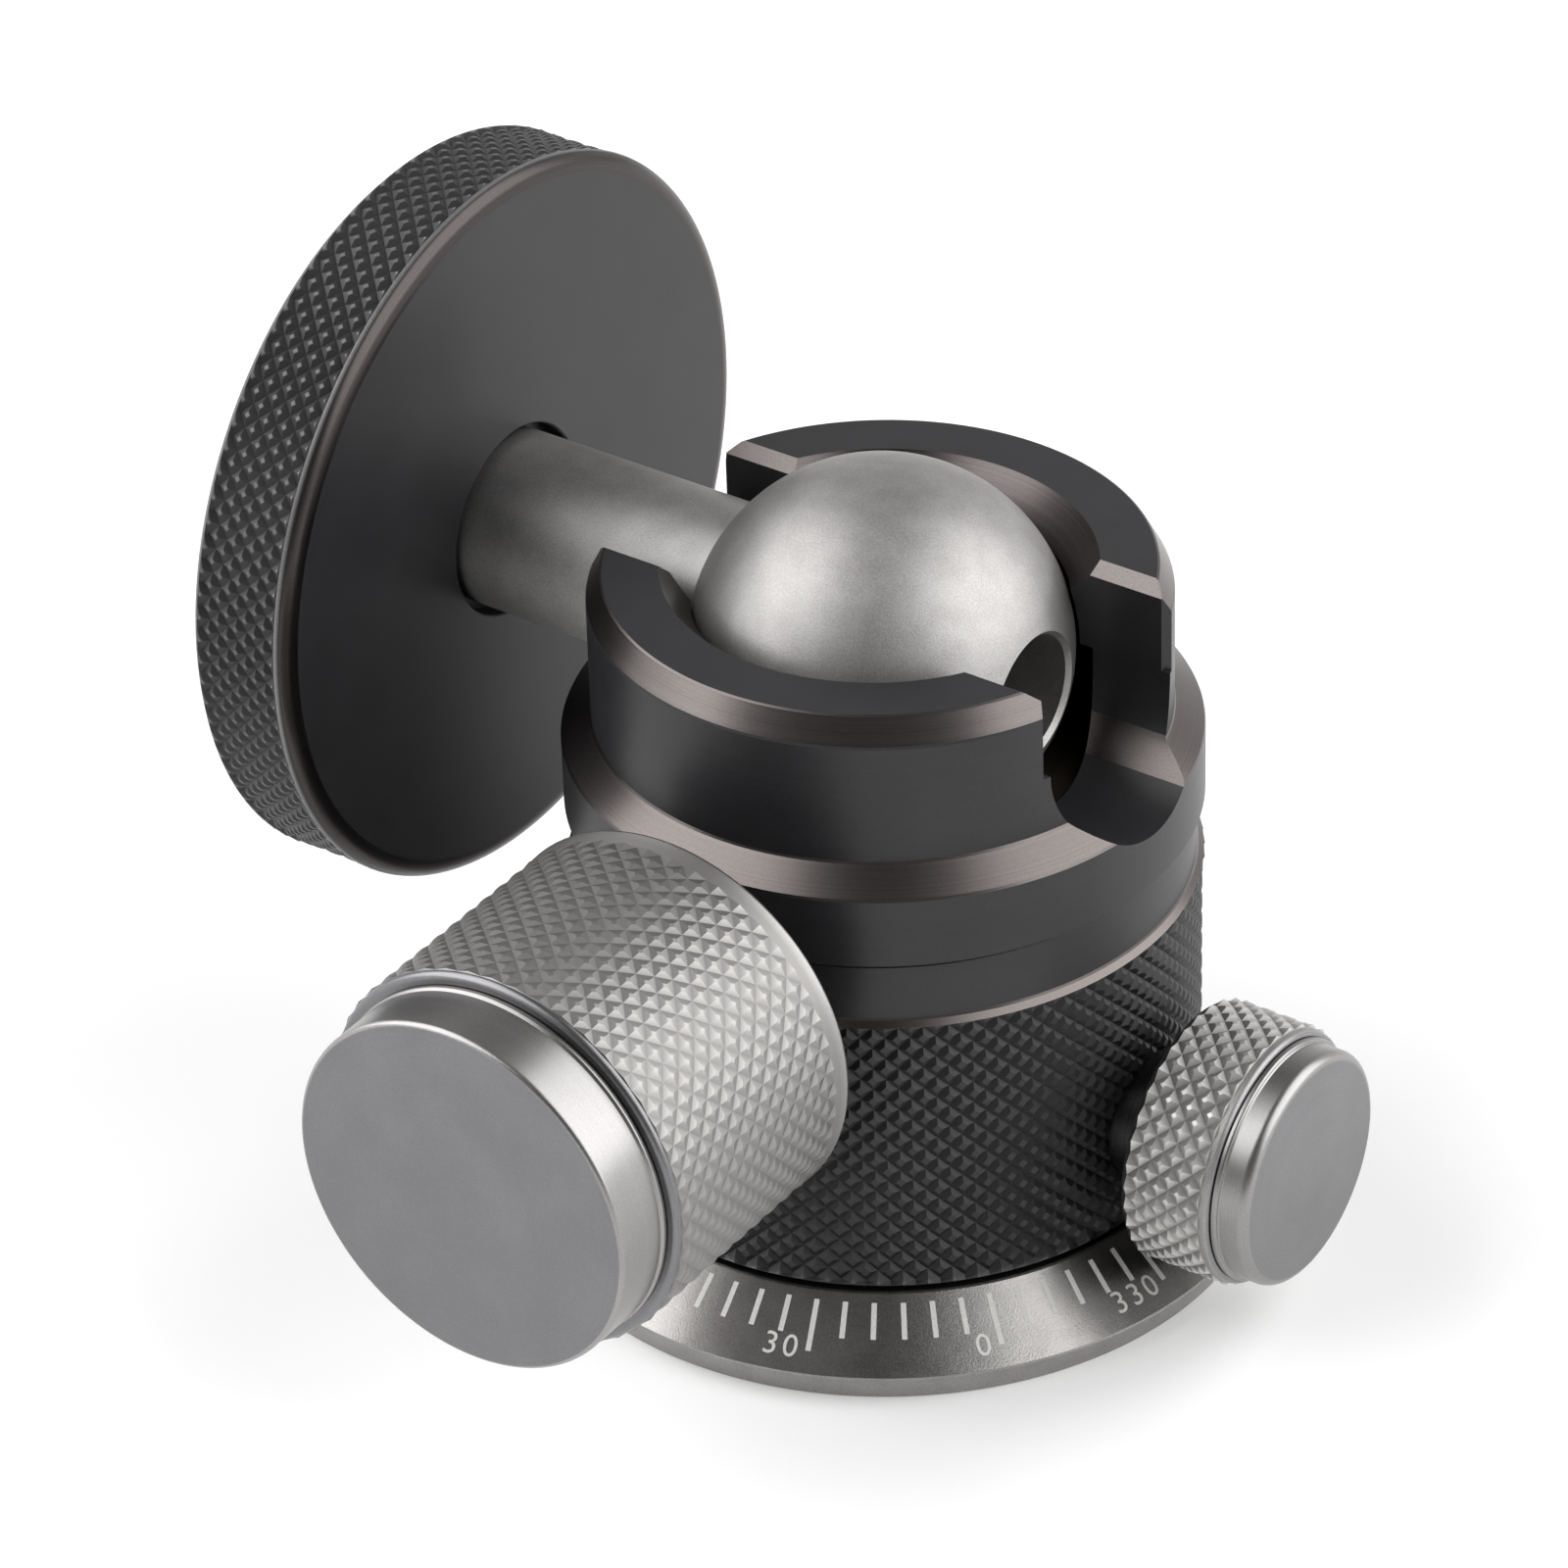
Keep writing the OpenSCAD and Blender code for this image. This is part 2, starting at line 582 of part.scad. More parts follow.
module pan_cap() color([0.66, 0.65, 0.65]) toward_pan() {
    face = pan_front + cap_groove_w + pan_cap_l;
    rotate_extrude() polygon([
        [0, pan_front - cap_spigot_l], [pan_recess_r, pan_front - cap_spigot_l], [pan_recess_r, pan_front],
        [pan_cap_r - cap_groove_d, pan_front], [pan_cap_r - cap_groove_d, pan_front + cap_groove_w],
        [pan_cap_r, pan_front + cap_groove_w], [pan_cap_r, face - pan_cap_bevel],
        [pan_cap_r - pan_cap_bevel, face], [0, face]]);
}

module pan_screw() color([0.5, 0.5, 0.52])
    toward_pan() rod(pan_screw_r, pan_screw_end, pan_back + pan_web + pan_nut_t + pan_screw_out);

module pan_nut() color([0.5, 0.5, 0.52]) toward_pan() difference() {
    translate([0, 0, pan_back + pan_web]) cylinder(h = pan_nut_t, d = pan_nut_d, $fn = 6);
    rod(pan_screw_r + fit, pan_back, pan_back + pan_web + pan_nut_t + cut);
}

module pan_washer() color([0.9, 0.9, 0.88])
    toward_pan() ring(pan_bush_r, pan_screw_r + washer_gap, pan_back - knob_washer_t, pan_back);

module ball_stem() color([0.58, 0.56, 0.54]) difference() {
    union() {
        translate([0, 0, ball_z]) sphere(r = ball_r);
        toward_platform() rod(stem_r, 0, stem_end);
    }
    toward_slot() rod(bore_r, ball_bore_floor, ball_r + cut);
    toward_slot() cone(bore_r, bore_r + 3 * ball_bore_edge,
        bore_rim - ball_bore_edge, bore_rim + 2 * ball_bore_edge);
    toward_platform() rod(stem_bolt_r + 2 * fit, -ball_bore_floor - cut, stem_end + cut);
}

module stem_bolt() color([0.2, 0.2, 0.22]) difference() {
    union() {
        toward_slot() rod(stem_bolt_head_r, ball_bore_floor, ball_bore_floor + stem_bolt_head_h);
        toward_platform() rod(stem_bolt_r, -ball_bore_floor, foot_floor + stem_bolt_reach);
    }
    toward_slot() translate([0, 0, ball_bore_floor + stem_bolt_head_h - socket_depth])
        cylinder(h = socket_depth + cut, r = socket_r, $fn = 6);
}

module platform() color([0.1, 0.1, 0.11]) toward_platform() difference() {
    rotate_extrude() polygon([
        [0, stem_reach], [platform_r - platform_chamfer, stem_reach],
        [platform_r, stem_reach + platform_chamfer], [platform_r, platform_top - platform_top_edge],
        [platform_r - platform_top_edge, platform_top], [0, platform_top]]);
    rod(stem_r + foot_gap, stem_reach - cut, foot_floor);
    rod(stem_bolt_r + fit, foot_floor - cut, foot_floor + stem_bolt_reach + bearing_gap);
    rod(pad_r + fit, pad_floor, platform_top + cut);
    rod(stud_root_r + fit, stud_floor, platform_top);
}

module platform_pad() color([0.2, 0.2, 0.2])
    toward_platform() ring(pad_r, stud_root_r + washer_gap, pad_floor, pad_top);

module camera_stud() color([0.7, 0.7, 0.72]) toward_platform() {
    rod(stud_root_r, stud_floor, pad_top);
    rod(stud_r, pad_top, stud_tip - stud_chamfer);
    cone(stud_r, stud_r - stud_chamfer, stud_tip - stud_chamfer, stud_tip);
}

base_ring();
base_plate();
thread_bush();
base_screws();
pan_spindle();
ball_housing();
chamber_plug();
retaining_ring();
thrust_washer();
friction_washer();
lock_bush();
pan_bush();
ball_cup();
spring_washer();
lock_pin();
lock_knob();
lock_cap();
lock_screw();
lock_nut();
lock_washer();
brake_shoe();
pan_knob();
pan_cap();
pan_screw();
pan_nut();
pan_washer();
ball_stem();
stem_bolt();
platform();
platform_pad();
camera_stud();
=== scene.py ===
# The looks of a tripod ball head: its turned and knurled pieces, their finishes, the floor, light and camera.
# Sizes are in millimetres until a piece is placed, and the placed pieces are in metres.
import math

import bmesh
import bpy
from mathutils import Euler, Matrix, Vector


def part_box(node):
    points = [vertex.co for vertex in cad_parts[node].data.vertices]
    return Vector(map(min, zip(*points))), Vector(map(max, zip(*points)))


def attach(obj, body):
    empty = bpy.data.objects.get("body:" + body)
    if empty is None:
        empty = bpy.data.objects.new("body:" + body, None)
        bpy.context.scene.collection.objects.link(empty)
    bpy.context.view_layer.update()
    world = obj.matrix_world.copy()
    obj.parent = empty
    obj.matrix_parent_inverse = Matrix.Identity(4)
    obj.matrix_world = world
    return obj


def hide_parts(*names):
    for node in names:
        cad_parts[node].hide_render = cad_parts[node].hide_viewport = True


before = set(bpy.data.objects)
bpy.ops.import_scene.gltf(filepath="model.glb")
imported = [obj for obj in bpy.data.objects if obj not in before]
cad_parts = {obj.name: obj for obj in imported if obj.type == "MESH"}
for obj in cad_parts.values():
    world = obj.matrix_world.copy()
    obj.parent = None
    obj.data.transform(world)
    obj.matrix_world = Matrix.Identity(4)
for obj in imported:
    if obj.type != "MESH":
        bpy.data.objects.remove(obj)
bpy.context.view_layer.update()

MM = 0.001
X, Y, Z = range(3)
# Vertices nearer than this are one, in millimetres
WELD = 0.0005
# A vertex this near to a radius or a height lies on it, in millimetres
CLOSE = 0.02
# Edges that turn more than this are shaded as sharp
SHARP = math.radians(12)
# Bevel that a turner leaves on every edge
EDGE_BREAK = 0.12


def span(node, axis):
    """Where a CAD node begins and ends along an axis, in millimetres to the nearest tenth."""
    low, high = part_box(node)
    return round(low[axis] / MM, 1), round(high[axis] / MM, 1)


def middle(node, axis):
    """Middle of a CAD node along an axis, in millimetres."""
    return round(sum(span(node, axis)) / 2, 2)


# ---- Sizes of the body, from the base up ----
base_r = span("base_ring", X)[1]
base_h = span("base_ring", Z)[1]
base_edge_h = 2.4
base_undercut = 0.9
plate_r = span("base_plate", X)[1]
plate_t = span("base_plate", Z)[1]
neck_hole_r = 12.25

body_r = span("ball_housing", X)[1]
body_z, top_z = span("ball_housing", Z)
body_edge = 0.4
neck_depth = 0.6
neck_groove = 0.35
barrel_z = body_z + 25.2
neck_z = barrel_z + 5.2
flange_z = neck_z + 6
shoulder_z = flange_z + 1.9
collar_r = 22.6
collar_chamfer = 1.2
collar_chamfer_h = 2.2
mouth_r = 16.9
mouth_h = 2.9
case_bore_r = span("chamber_plug", X)[1]
plug_top_z = span("chamber_plug", Z)[1]
cup_bore_r = 16.3
slot_half = 8.4
slot_chamfer = 1

# ---- Sizes of the ball, its stem and the platform, as distances from the ball's centre ----
ball_z = middle("platform", Z)
ball_r = 15
ball_gap = 0.3
stem_r = 7.25
stem_end = -span("ball_stem", X)[0]
bolt_hole_r = 2.6
tool_bore_r = 5
tool_bore_floor = 2
tool_bore_edge = 0.5
platform_r = 30
platform_low = -span("platform", X)[1]
platform_top = -span("platform", X)[0]
platform_chamfer = 1.2
platform_top_edge = 0.8
foot_gap = 0.7
foot_depth = 1.7
bolt_hole_end = 40.4
pad_r = 26.5
pad_floor = 43.4
pad_top = -span("platform_pad", X)[0]
stud_floor = -span("camera_stud", X)[1]
stud_tip = -span("camera_stud", X)[0]
stud_r = 3.175
stud_root_r = 4.5

# ---- Sizes of the knobs, as distances from the body's axis ----
lock_z = middle("lock_knob", Z)
lock_r = 16
lock_back = -span("lock_knob", Y)[1]
lock_front = -span("lock_knob", Y)[0]
lock_rim_l = 1.8
lock_rim_flare = 0.3
lock_rim_edge = 0.4
lock_edge = 0.6
lock_web = 6
lock_bore_r = 4.05
lock_recess_r = 13.35
lock_cap_r = 14.9
lock_cap_side_r = 14.75
lock_cap_bevel = 0.45
lock_face = -span("lock_cap", Y)[0]
lock_bush_r = 9.05
lock_bush_shank_r = 6.55
lock_bush_seat = body_r - 2
lock_bush_end = body_r - 3.8
pin_hole_r = 4.58

pan_z = middle("pan_knob", Z)
pan_r = 10.7
pan_back, pan_front = span("pan_knob", X)
pan_edge = 0.4
pan_lip_l = 0.8
pan_web = 3
pan_bore_r = 2.55
pan_recess_r = 8.55
pan_cap_r = 9.9
pan_cap_side_r = 9.6
pan_cap_bevel = 0.9
pan_face = span("pan_cap", X)[1]
pan_bush_r = 5.45
pan_bush_end = body_r - 2
shoe_hole_r = 3.08

cap_gap = 0.1
cap_flange_l = 0.55
cap_flange_round = 0.25
cap_spigot_l = 2


class Turning:
    """An axis that pieces are turned about: the point it starts from, and how Z is tilted on to it."""

    def __init__(self, start, tilt):
        self.start = Vector(start)
        self.tilt = Euler([math.radians(angle) for angle in tilt])

    def matrix(self):
        return Matrix.Translation(self.start) @ self.tilt.to_matrix().to_4x4()


upright = Turning((0, 0, 0), (0, 0, 0))
toward_lock = Turning((0, 0, lock_z), (90, 0, 0))
toward_pan = Turning((0, 0, pan_z), (0, 90, 0))
toward_platform = Turning((0, 0, ball_z), (0, -90, 0))


# ---- Shapes ----
def arc(centre, radius, start, end, steps):
    """Points of (radius, height) along an arc, with angles in degrees from the outward direction."""
    angles = [math.radians(start + (end - start) * step / steps) for step in range(steps + 1)]
    return [(centre[0] + radius * math.cos(a), centre[1] + radius * math.sin(a)) for a in angles]


def eased(outline, size=EDGE_BREAK):
    """Breaks the corners of an outline of (radius, height) points with small bevels."""
    points = [Vector(point) for point in outline]
    broken = []
    for index, corner in enumerate(points):
        if corner.x == 0:
            broken.append(corner)
            continue
        for neighbour in (points[index - 1], points[(index + 1) % len(points)]):
            way = neighbour - corner
            broken.append(corner + way * min(size / way.length, 0.3))
    return broken


def turned(outline, columns=128, solid=False):
    """Spins an outline of (radius, height) points about Z. A solid's outline starts and ends on the axis."""
    shape = bmesh.new()
    corners = [shape.verts.new((radius, 0, height)) for radius, height in outline]
    sides = [shape.edges.new(pair) for pair in zip(corners, corners[1:])]
    if not solid:
        sides.append(shape.edges.new((corners[-1], corners[0])))
    bmesh.ops.spin(shape, geom=corners + sides, cent=(0, 0, 0), axis=(0, 0, 1), dvec=(0, 0, 0),
                   angle=math.tau, steps=columns, use_merge=True, use_duplicate=False)
    bmesh.ops.remove_doubles(shape, verts=shape.verts, dist=WELD)
    bmesh.ops.recalc_face_normals(shape, faces=shape.faces)
    return shape


def knurl(shape, radius, low, high, around, pitch, depth, blunt):
    """Cuts a diamond knurl into the outside of a turned shape between two heights.

    The band gets a grid of half pitches. Every other point is a crossing of two grooves and goes in by
    the depth, the rest are crests, and the cells are split along the grooves."""
    def on_band(vert):
        return abs(vert.co.xy.length - radius) < CLOSE and low - CLOSE < vert.co.z < high + CLOSE

    band = [face for face in shape.faces if all(on_band(vert) for vert in face.verts)]
    heights = [vert.co.z for face in band for vert in face.verts]
    first, last = min(heights), max(heights)
    rows = round(2 * (last - first) / pitch)
    step = (last - first) / rows
    uprights = {edge for face in band for edge in face.edges
                if abs(edge.verts[0].co.z - edge.verts[1].co.z) > CLOSE}
    bmesh.ops.subdivide_edges(shape, edges=list(uprights), cuts=rows - 1, use_grid_fill=True)
    crossings = []
    crests = []
    for vert in [vert for vert in shape.verts if on_band(vert)]:
        row = round((vert.co.z - first) / step)
        column = round(math.atan2(vert.co.y, vert.co.x) / math.tau * 2 * around)
        if (row + column) % 2:
            crossings.append(vert)
        elif 0 < row < rows:
            crests.append(vert)
    inward = 1 - depth / radius
    bmesh.ops.scale(shape, vec=(inward, inward, 1), verts=crossings)
    bmesh.ops.connect_verts(shape, verts=crossings)
    bmesh.ops.bevel(shape, geom=crests, offset=blunt, offset_type="OFFSET", segments=1, profile=0.5,
                    affect="VERTICES", clamp_overlap=True, material=-1)
    return shape


def extruded(section, along):
    """A flat section of 3-D points, drawn out along a vector."""
    shape = bmesh.new()
    flat = shape.faces.new([shape.verts.new(point) for point in section])
    drawn = bmesh.ops.extrude_face_region(shape, geom=[flat])
    bmesh.ops.translate(shape, vec=along, verts=[part for part in drawn["geom"]
                                                if isinstance(part, bmesh.types.BMVert)])
    bmesh.ops.recalc_face_normals(shape, faces=shape.faces)
    return shape


def threaded(radius, pitch, low, high, steps=40):
    """A rod with a V thread from one height to another, closed at both ends."""
    depth = 0.58 * pitch
    crest = 0.14 * pitch
    turns = math.ceil((high - low) / pitch) + 2
    shape = bmesh.new()
    outline = [(radius - depth, 0), (radius, pitch / 2 - crest / 2), (radius, pitch / 2 + crest / 2),
               (radius - depth, pitch)]
    corners = [shape.verts.new((r, 0, low - 1.5 * pitch + h)) for r, h in outline]
    sides = [shape.edges.new(pair) for pair in zip(corners, corners[1:])]
    bmesh.ops.spin(shape, geom=corners + sides, cent=(0, 0, 0), axis=(0, 0, 1), dvec=(0, 0, pitch / steps),
                   angle=math.tau * turns, steps=steps * turns, use_merge=False, use_duplicate=False)
    bmesh.ops.remove_doubles(shape, verts=shape.verts, dist=CLOSE / 2)
    for height, kept in ((low, 1), (high, -1)):
        bmesh.ops.bisect_plane(shape, geom=shape.verts[:] + shape.edges[:] + shape.faces[:], dist=WELD,
                               plane_co=(0, 0, height), plane_no=(0, 0, kept), clear_inner=True)
    bmesh.ops.holes_fill(shape, edges=[edge for edge in shape.edges if edge.is_boundary], sides=0)
    bmesh.ops.recalc_face_normals(shape, faces=shape.faces)
    return shape


def joined(*shapes):
    """Several shapes as one mesh."""
    whole = bmesh.new()
    for shape in shapes:
        spare = bpy.data.meshes.new("spare")
        shape.to_mesh(spare)
        shape.free()
        whole.from_mesh(spare)
        bpy.data.meshes.remove(spare)
    return whole


def bench_object(shape, name):
    """A shape as an object in millimetres, for the time that it is being cut."""
    data = bpy.data.meshes.new(name)
    shape.to_mesh(data)
    shape.free()
    made = bpy.data.objects.new(name, data)
    bpy.context.scene.collection.objects.link(made)
    return made


def cut_away(blank, *cutters):
    """What is left of a blank when the cutters have been taken out of it."""
    work = bench_object(blank, "work")
    tools = [bench_object(cutter, "cutter") for cutter in cutters]
    for tool in tools:
        cut = work.modifiers.new("cut", "BOOLEAN")
        cut.operation = "DIFFERENCE"
        cut.solver = "EXACT"
        cut.object = tool
    left = bmesh.new()
    left.from_object(work, bpy.context.evaluated_depsgraph_get())
    for spare in (work, *tools):
        bpy.data.meshes.remove(spare.data)
    bmesh.ops.remove_doubles(left, verts=left.verts, dist=WELD)
    bmesh.ops.dissolve_degenerate(left, edges=left.edges, dist=WELD)
    return left


def piece(shape, name, turning, finishes, body, stands_for=()):
    """Places a shape made in millimetres about a turning's axis, and gives it its finishes and its body."""
    shape.transform(Matrix.Scale(MM, 4) @ turning.matrix())
    for face in shape.faces:
        face.smooth = True
    for edge in shape.edges:
        edge.smooth = edge.calc_face_angle(0) < SHARP
    data = bpy.data.meshes.new(name)
    shape.to_mesh(data)
    shape.free()
    for finish in finishes:
        data.materials.append(finish)
    made = bpy.data.objects.new(name, data)
    bpy.context.scene.collection.objects.link(made)
    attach(made, body)
    if stands_for:
        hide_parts(*stands_for)
    return made


# ---- Finishes ----
class Signal:
    """A socket of a node material that adds and multiplies like a number, and makes further nodes."""

    def __init__(self, tree, socket=None):
        self.tree = tree
        self.socket = socket

    def node(self, kind, settings=None, inputs=None, output=0):
        """Adds a node of a kind, makes its settings, then sets or links its inputs. A tuple of output
        names gives one signal for each."""
        made = self.tree.nodes.new("ShaderNode" + kind)
        for name, value in (settings or {}).items():
            setattr(made, name, value)
        for name, value in (inputs or {}).items():
            if isinstance(value, Signal):
                self.tree.links.new(value.socket, made.inputs[name])
            else:
                made.inputs[name].default_value = value
        if isinstance(output, tuple):
            return [Signal(self.tree, made.outputs[name]) for name in output]
        return Signal(self.tree, made.outputs[output] if made.outputs else None)

    def sum(self, operation, first, second):
        return self.node("Math", {"operation": operation}, {0: first, 1: second})

    def __add__(self, other):
        return self.sum("ADD", self, other)

    def __sub__(self, other):
        return self.sum("SUBTRACT", self, other)

    def __rsub__(self, other):
        return self.sum("SUBTRACT", other, self)

    def __mul__(self, other):
        return self.sum("MULTIPLY", self, other)

    def __truediv__(self, other):
        return self.sum("DIVIDE", self, other)

    def __pow__(self, other):
        return self.sum("POWER", self, other)

    __radd__ = __add__
    __rmul__ = __mul__


def new_finish(name):
    """An empty node material, and the signal that starts its nodes."""
    material = bpy.data.materials.new(name)
    material.use_nodes = True
    material.node_tree.nodes.clear()
    return material, Signal(material.node_tree)


def noise(place, size, detail=2.0):
    """Soft noise from 0 to 1, with spots of about a size in millimetres."""
    return place.node("TexNoise", inputs={"Vector": place, "Scale": 1 / (size * MM), "Detail": detail})


def between(value, low, high):
    """0 below low, 1 above high, and an even slope between."""
    return value.node("MapRange", inputs={"Value": value, "From Min": low, "From Max": high})


def tint(factor, low, high):
    """A colour that goes from low to high as the factor goes from 0 to 1."""
    return factor.node("Mix", {"data_type": "RGBA"}, {0: factor, 6: (*low, 1), 7: (*high, 1)}, output=2)


def lathe_place(start, turning):
    """Object coordinates, and the distances from and along a turning's axis."""
    place = start.node("TexCoord", output="Object")
    laid = place.node("Mapping", {"vector_type": "TEXTURE"},
                      {"Vector": place, "Location": turning.start * MM, "Rotation": turning.tilt})
    x, y, along = laid.node("SeparateXYZ", inputs={"Vector": laid}, output=("X", "Y", "Z"))
    return place, (x * x + y * y) ** 0.5, along


def lathe_lines(radius, along, size):
    """Noise drawn out round the axis, as a cutting tool leaves it."""
    return noise(radius.node("CombineXYZ", inputs={"X": radius, "Y": along}), size, detail=3.0)


def surface(start, colour, roughness, metallic, height, depth, **constants):
    """Ends a finish: a height from 0 to 1 stands for a relief of a depth in millimetres."""
    normal = start.node("Bump", inputs={"Strength": 1.0, "Distance": depth * MM, "Height": height})
    shader = start.node("BsdfPrincipled", inputs={
        "Base Color": colour, "Roughness": roughness, "Metallic": metallic, "Normal": normal, **constants})
    start.node("OutputMaterial", inputs={"Surface": shader})


def blasted_titanium(name, turning, dark, light, roughness):
    """Warm grey metal, bead-blasted to a fine even grain."""
    material, start = new_finish(name)
    place, radius, along = lathe_place(start, turning)
    grain = noise(place, 0.14)
    mottle = noise(place, 2.2, detail=4.0)
    shade = between(0.65 * grain + 0.35 * mottle, 0.36, 0.64)
    surface(start, tint(shade, dark, light), roughness + 0.12 * grain, 1.0, grain, 0.012)
    return material


def black_anodised(name, turning, lines=0.3):
    """Satin black skin over turned metal."""
    material, start = new_finish(name)
    place, radius, along = lathe_place(start, turning)
    grain = noise(place, 0.12)
    turning_marks = lathe_lines(radius, along, lines)
    bloom = noise(place, 6.0)
    shade = between(0.5 * grain + 0.2 * turning_marks + 0.3 * bloom, 0.35, 0.65)
    surface(start, tint(shade, (0.0100, 0.0094, 0.0110), (0.0200, 0.0190, 0.0214)),
            0.30 + 0.10 * grain + 0.06 * turning_marks, 0.0, 0.5 * grain + 0.5 * turning_marks, 0.004,
            **{"Specular IOR Level": 0.42})
    return material


def cut_edge(name, turning, dark=(0.105, 0.093, 0.090), light=(0.140, 0.125, 0.121)):
    """Chamfers cut bright before the black skin went on: a smoother, lighter band."""
    material, start = new_finish(name)
    place, radius, along = lathe_place(start, turning)
    grain = noise(place, 0.12)
    turning_marks = lathe_lines(radius, along, 0.12)
    shade = between(0.4 * grain + 0.6 * turning_marks, 0.35, 0.65)
    surface(start, tint(shade, dark, light), 0.26 + 0.08 * turning_marks, 1.0,
            0.6 * grain + 0.4 * turning_marks, 0.003)
    return material


def black_knurl(name, turning, crest_r, depth, worn=(0.095, 0.092, 0.092)):
    """Black knurl, worn a little lighter on its crests, with painted shade keeping its grooves darkest."""
    material, start = new_finish(name)
    place, radius, along = lathe_place(start, turning)
    grain = noise(place, 0.15)
    # Crests lighter by wear; the grooves keep the darkest colour as painted shade
    crest = between(radius, (crest_r - 0.35 * depth) * MM, (crest_r - 0.1 * depth) * MM)
    crest_wear_and_groove_shade = crest * (0.6 + 0.7 * grain)
    surface(start, tint(crest_wear_and_groove_shade, (0.008, 0.008, 0.009), worn), 0.42 + 0.12 * grain,
            0.8 * crest, grain, 0.006)
    return material


def silver_satin(name, turning, dark, light):
    """Light grey metal with a fine satin turned face."""
    material, start = new_finish(name)
    place, radius, along = lathe_place(start, turning)
    grain = noise(place, 0.13)
    turning_marks = lathe_lines(radius, along, 0.16)
    cloud = noise(place, 5.0)
    shade = between(0.5 * grain + 0.25 * turning_marks + 0.25 * cloud, 0.35, 0.65)
    surface(start, tint(shade, dark, light), 0.27 + 0.10 * grain + 0.05 * turning_marks, 1.0,
            0.6 * grain + 0.4 * turning_marks, 0.004)
    return material


def silver_knurl(name, turning, crest_r, depth, shaded_groove, worn):
    """Light grey knurl with crests worn brighter, and painted shade in its duller grooves."""
    material, start = new_finish(name)
    place, radius, along = lathe_place(start, turning)
    grain = noise(place, 0.15)
    # Crests brighter by wear, grooves duller as painted shade
    crest = between(radius, (crest_r - depth) * MM, crest_r * MM)
    shade = between(0.75 * crest + 0.4 * grain, 0.15, 1.0)
    surface(start, tint(shade, shaded_groove, worn), 0.52 - 0.10 * crest, 1.0, grain, 0.006)
    return material


def plain_metal(name, dark, light, roughness, turning=upright):
    """Turned metal of a given colour, for the small and inner pieces."""
    material, start = new_finish(name)
    place, radius, along = lathe_place(start, turning)
    grain = noise(place, 0.15)
    turning_marks = lathe_lines(radius, along, 0.2)
    shade = between(0.5 * grain + 0.5 * turning_marks, 0.35, 0.65)
    surface(start, tint(shade, dark, light), roughness + 0.12 * turning_marks, 1.0, turning_marks, 0.006)
    return material


def washer_plastic(name):
    """Milky plastic of the washers."""
    material, start = new_finish(name)
    place = start.node("TexCoord", output="Object")
    grain = noise(place, 0.5)
    surface(start, tint(grain, (0.62, 0.60, 0.55), (0.74, 0.72, 0.67)), 0.45 + 0.1 * grain, 0.0, grain, 0.01)
    return material


def pad_rubber(name):
    """Dark rubber of the platform's pad, with a dusty grain."""
    material, start = new_finish(name)
    place = start.node("TexCoord", output="Object")
    grain = noise(place, 0.25)
    dust = noise(place, 4.0)
    shade = between(0.6 * grain + 0.4 * dust, 0.35, 0.65)
    surface(start, tint(shade, (0.018, 0.018, 0.018), (0.040, 0.039, 0.038)), 0.70 + 0.15 * grain, 0.0,
            grain, 0.03)
    return material


def dial_paint(name):
    """White paint of the dial's marks, a little uneven."""
    material, start = new_finish(name)
    place = start.node("TexCoord", output="Object")
    grain = noise(place, 0.2)
    surface(start, tint(grain, (0.60, 0.59, 0.57), (0.86, 0.85, 0.83)), 0.5 + 0.1 * grain, 0.0, grain, 0.005)
    return material


# Satin silver of the lock's pieces and of the pan knob's, one metal, painted a little lighter on the pan knob's
# pieces as a painted reflection of the brighter surroundings they face
LOCK_SILVER = ((0.163, 0.160, 0.165), (0.210, 0.207, 0.212))
PAN_SILVER_PAINTED_LIGHTER = ((0.207, 0.204, 0.210), (0.269, 0.265, 0.271))
# Grooves and crests of the two knobs' knurls: crests worn lighter, grooves darker as painted shade
LOCK_KNURL = ((0.240, 0.234, 0.228), (0.320, 0.313, 0.305))
PAN_KNURL = ((0.320, 0.313, 0.304), (0.700, 0.688, 0.672))
# Silver of the caps' sides: the same metal as their faces, painted brighter as a painted highlight for the
# light falling on the sides
CAP_SIDE_PAINTED_BRIGHT = ((0.255, 0.249, 0.246), (0.325, 0.317, 0.314))
# Edges with a thin black skin: the mouth's bevel, and the platform's edge, where it is thicker
SKINNED_EDGE = ((0.075, 0.066, 0.064), (0.110, 0.098, 0.095))
PLATFORM_EDGE = ((0.046, 0.041, 0.040), (0.068, 0.061, 0.059))


# ---- Pieces ----
def make_base_ring():
    """Graduated ring that the head stands on."""
    outline = eased([
        (neck_hole_r, base_h), (neck_hole_r, plate_t), (plate_r + 0.05, plate_t), (plate_r + 0.05, 0),
        (base_r - base_undercut, 0), (base_r, base_edge_h), (body_r, base_h)])
    titanium = blasted_titanium("base_titanium", upright, (0.250, 0.242, 0.234), (0.345, 0.335, 0.326), 0.25)
    return piece(turned(outline, 240), "graduated_ring", upright, [titanium], "base",
                 ["base_ring"])


# Dial: marks every 5 degrees, a long one and a number every 30
mark_step = 5
marks_per_number = 6
dial_zero = -39.1
mark_w = 0.42
mark_top = 0.85
mark_l = 2.95
long_mark_l = 4.2
mark_proud = 0.015
mark_t = 0.12
digit_h = 1.8
digit_pitch = 1.6
digit_gap = 0.45
digit_foot = 5.7
cone_slant = math.hypot(base_r - body_r, base_h - base_edge_h)


def on_dial(azimuth, down):
    """Places a flat shape on the dial's cone: its X goes round, its Y goes up the slope, its Z goes out."""
    run = (base_r - body_r) / cone_slant
    drop = (base_h - base_edge_h) / cone_slant
    slope = Matrix(((0, -run, drop, body_r + run * down), (1, 0, 0, 0), (0, drop, run, base_h - drop * down),
                    (0, 0, 0, 1)))
    return Matrix.Rotation(math.radians(azimuth), 4, "Z") @ slope


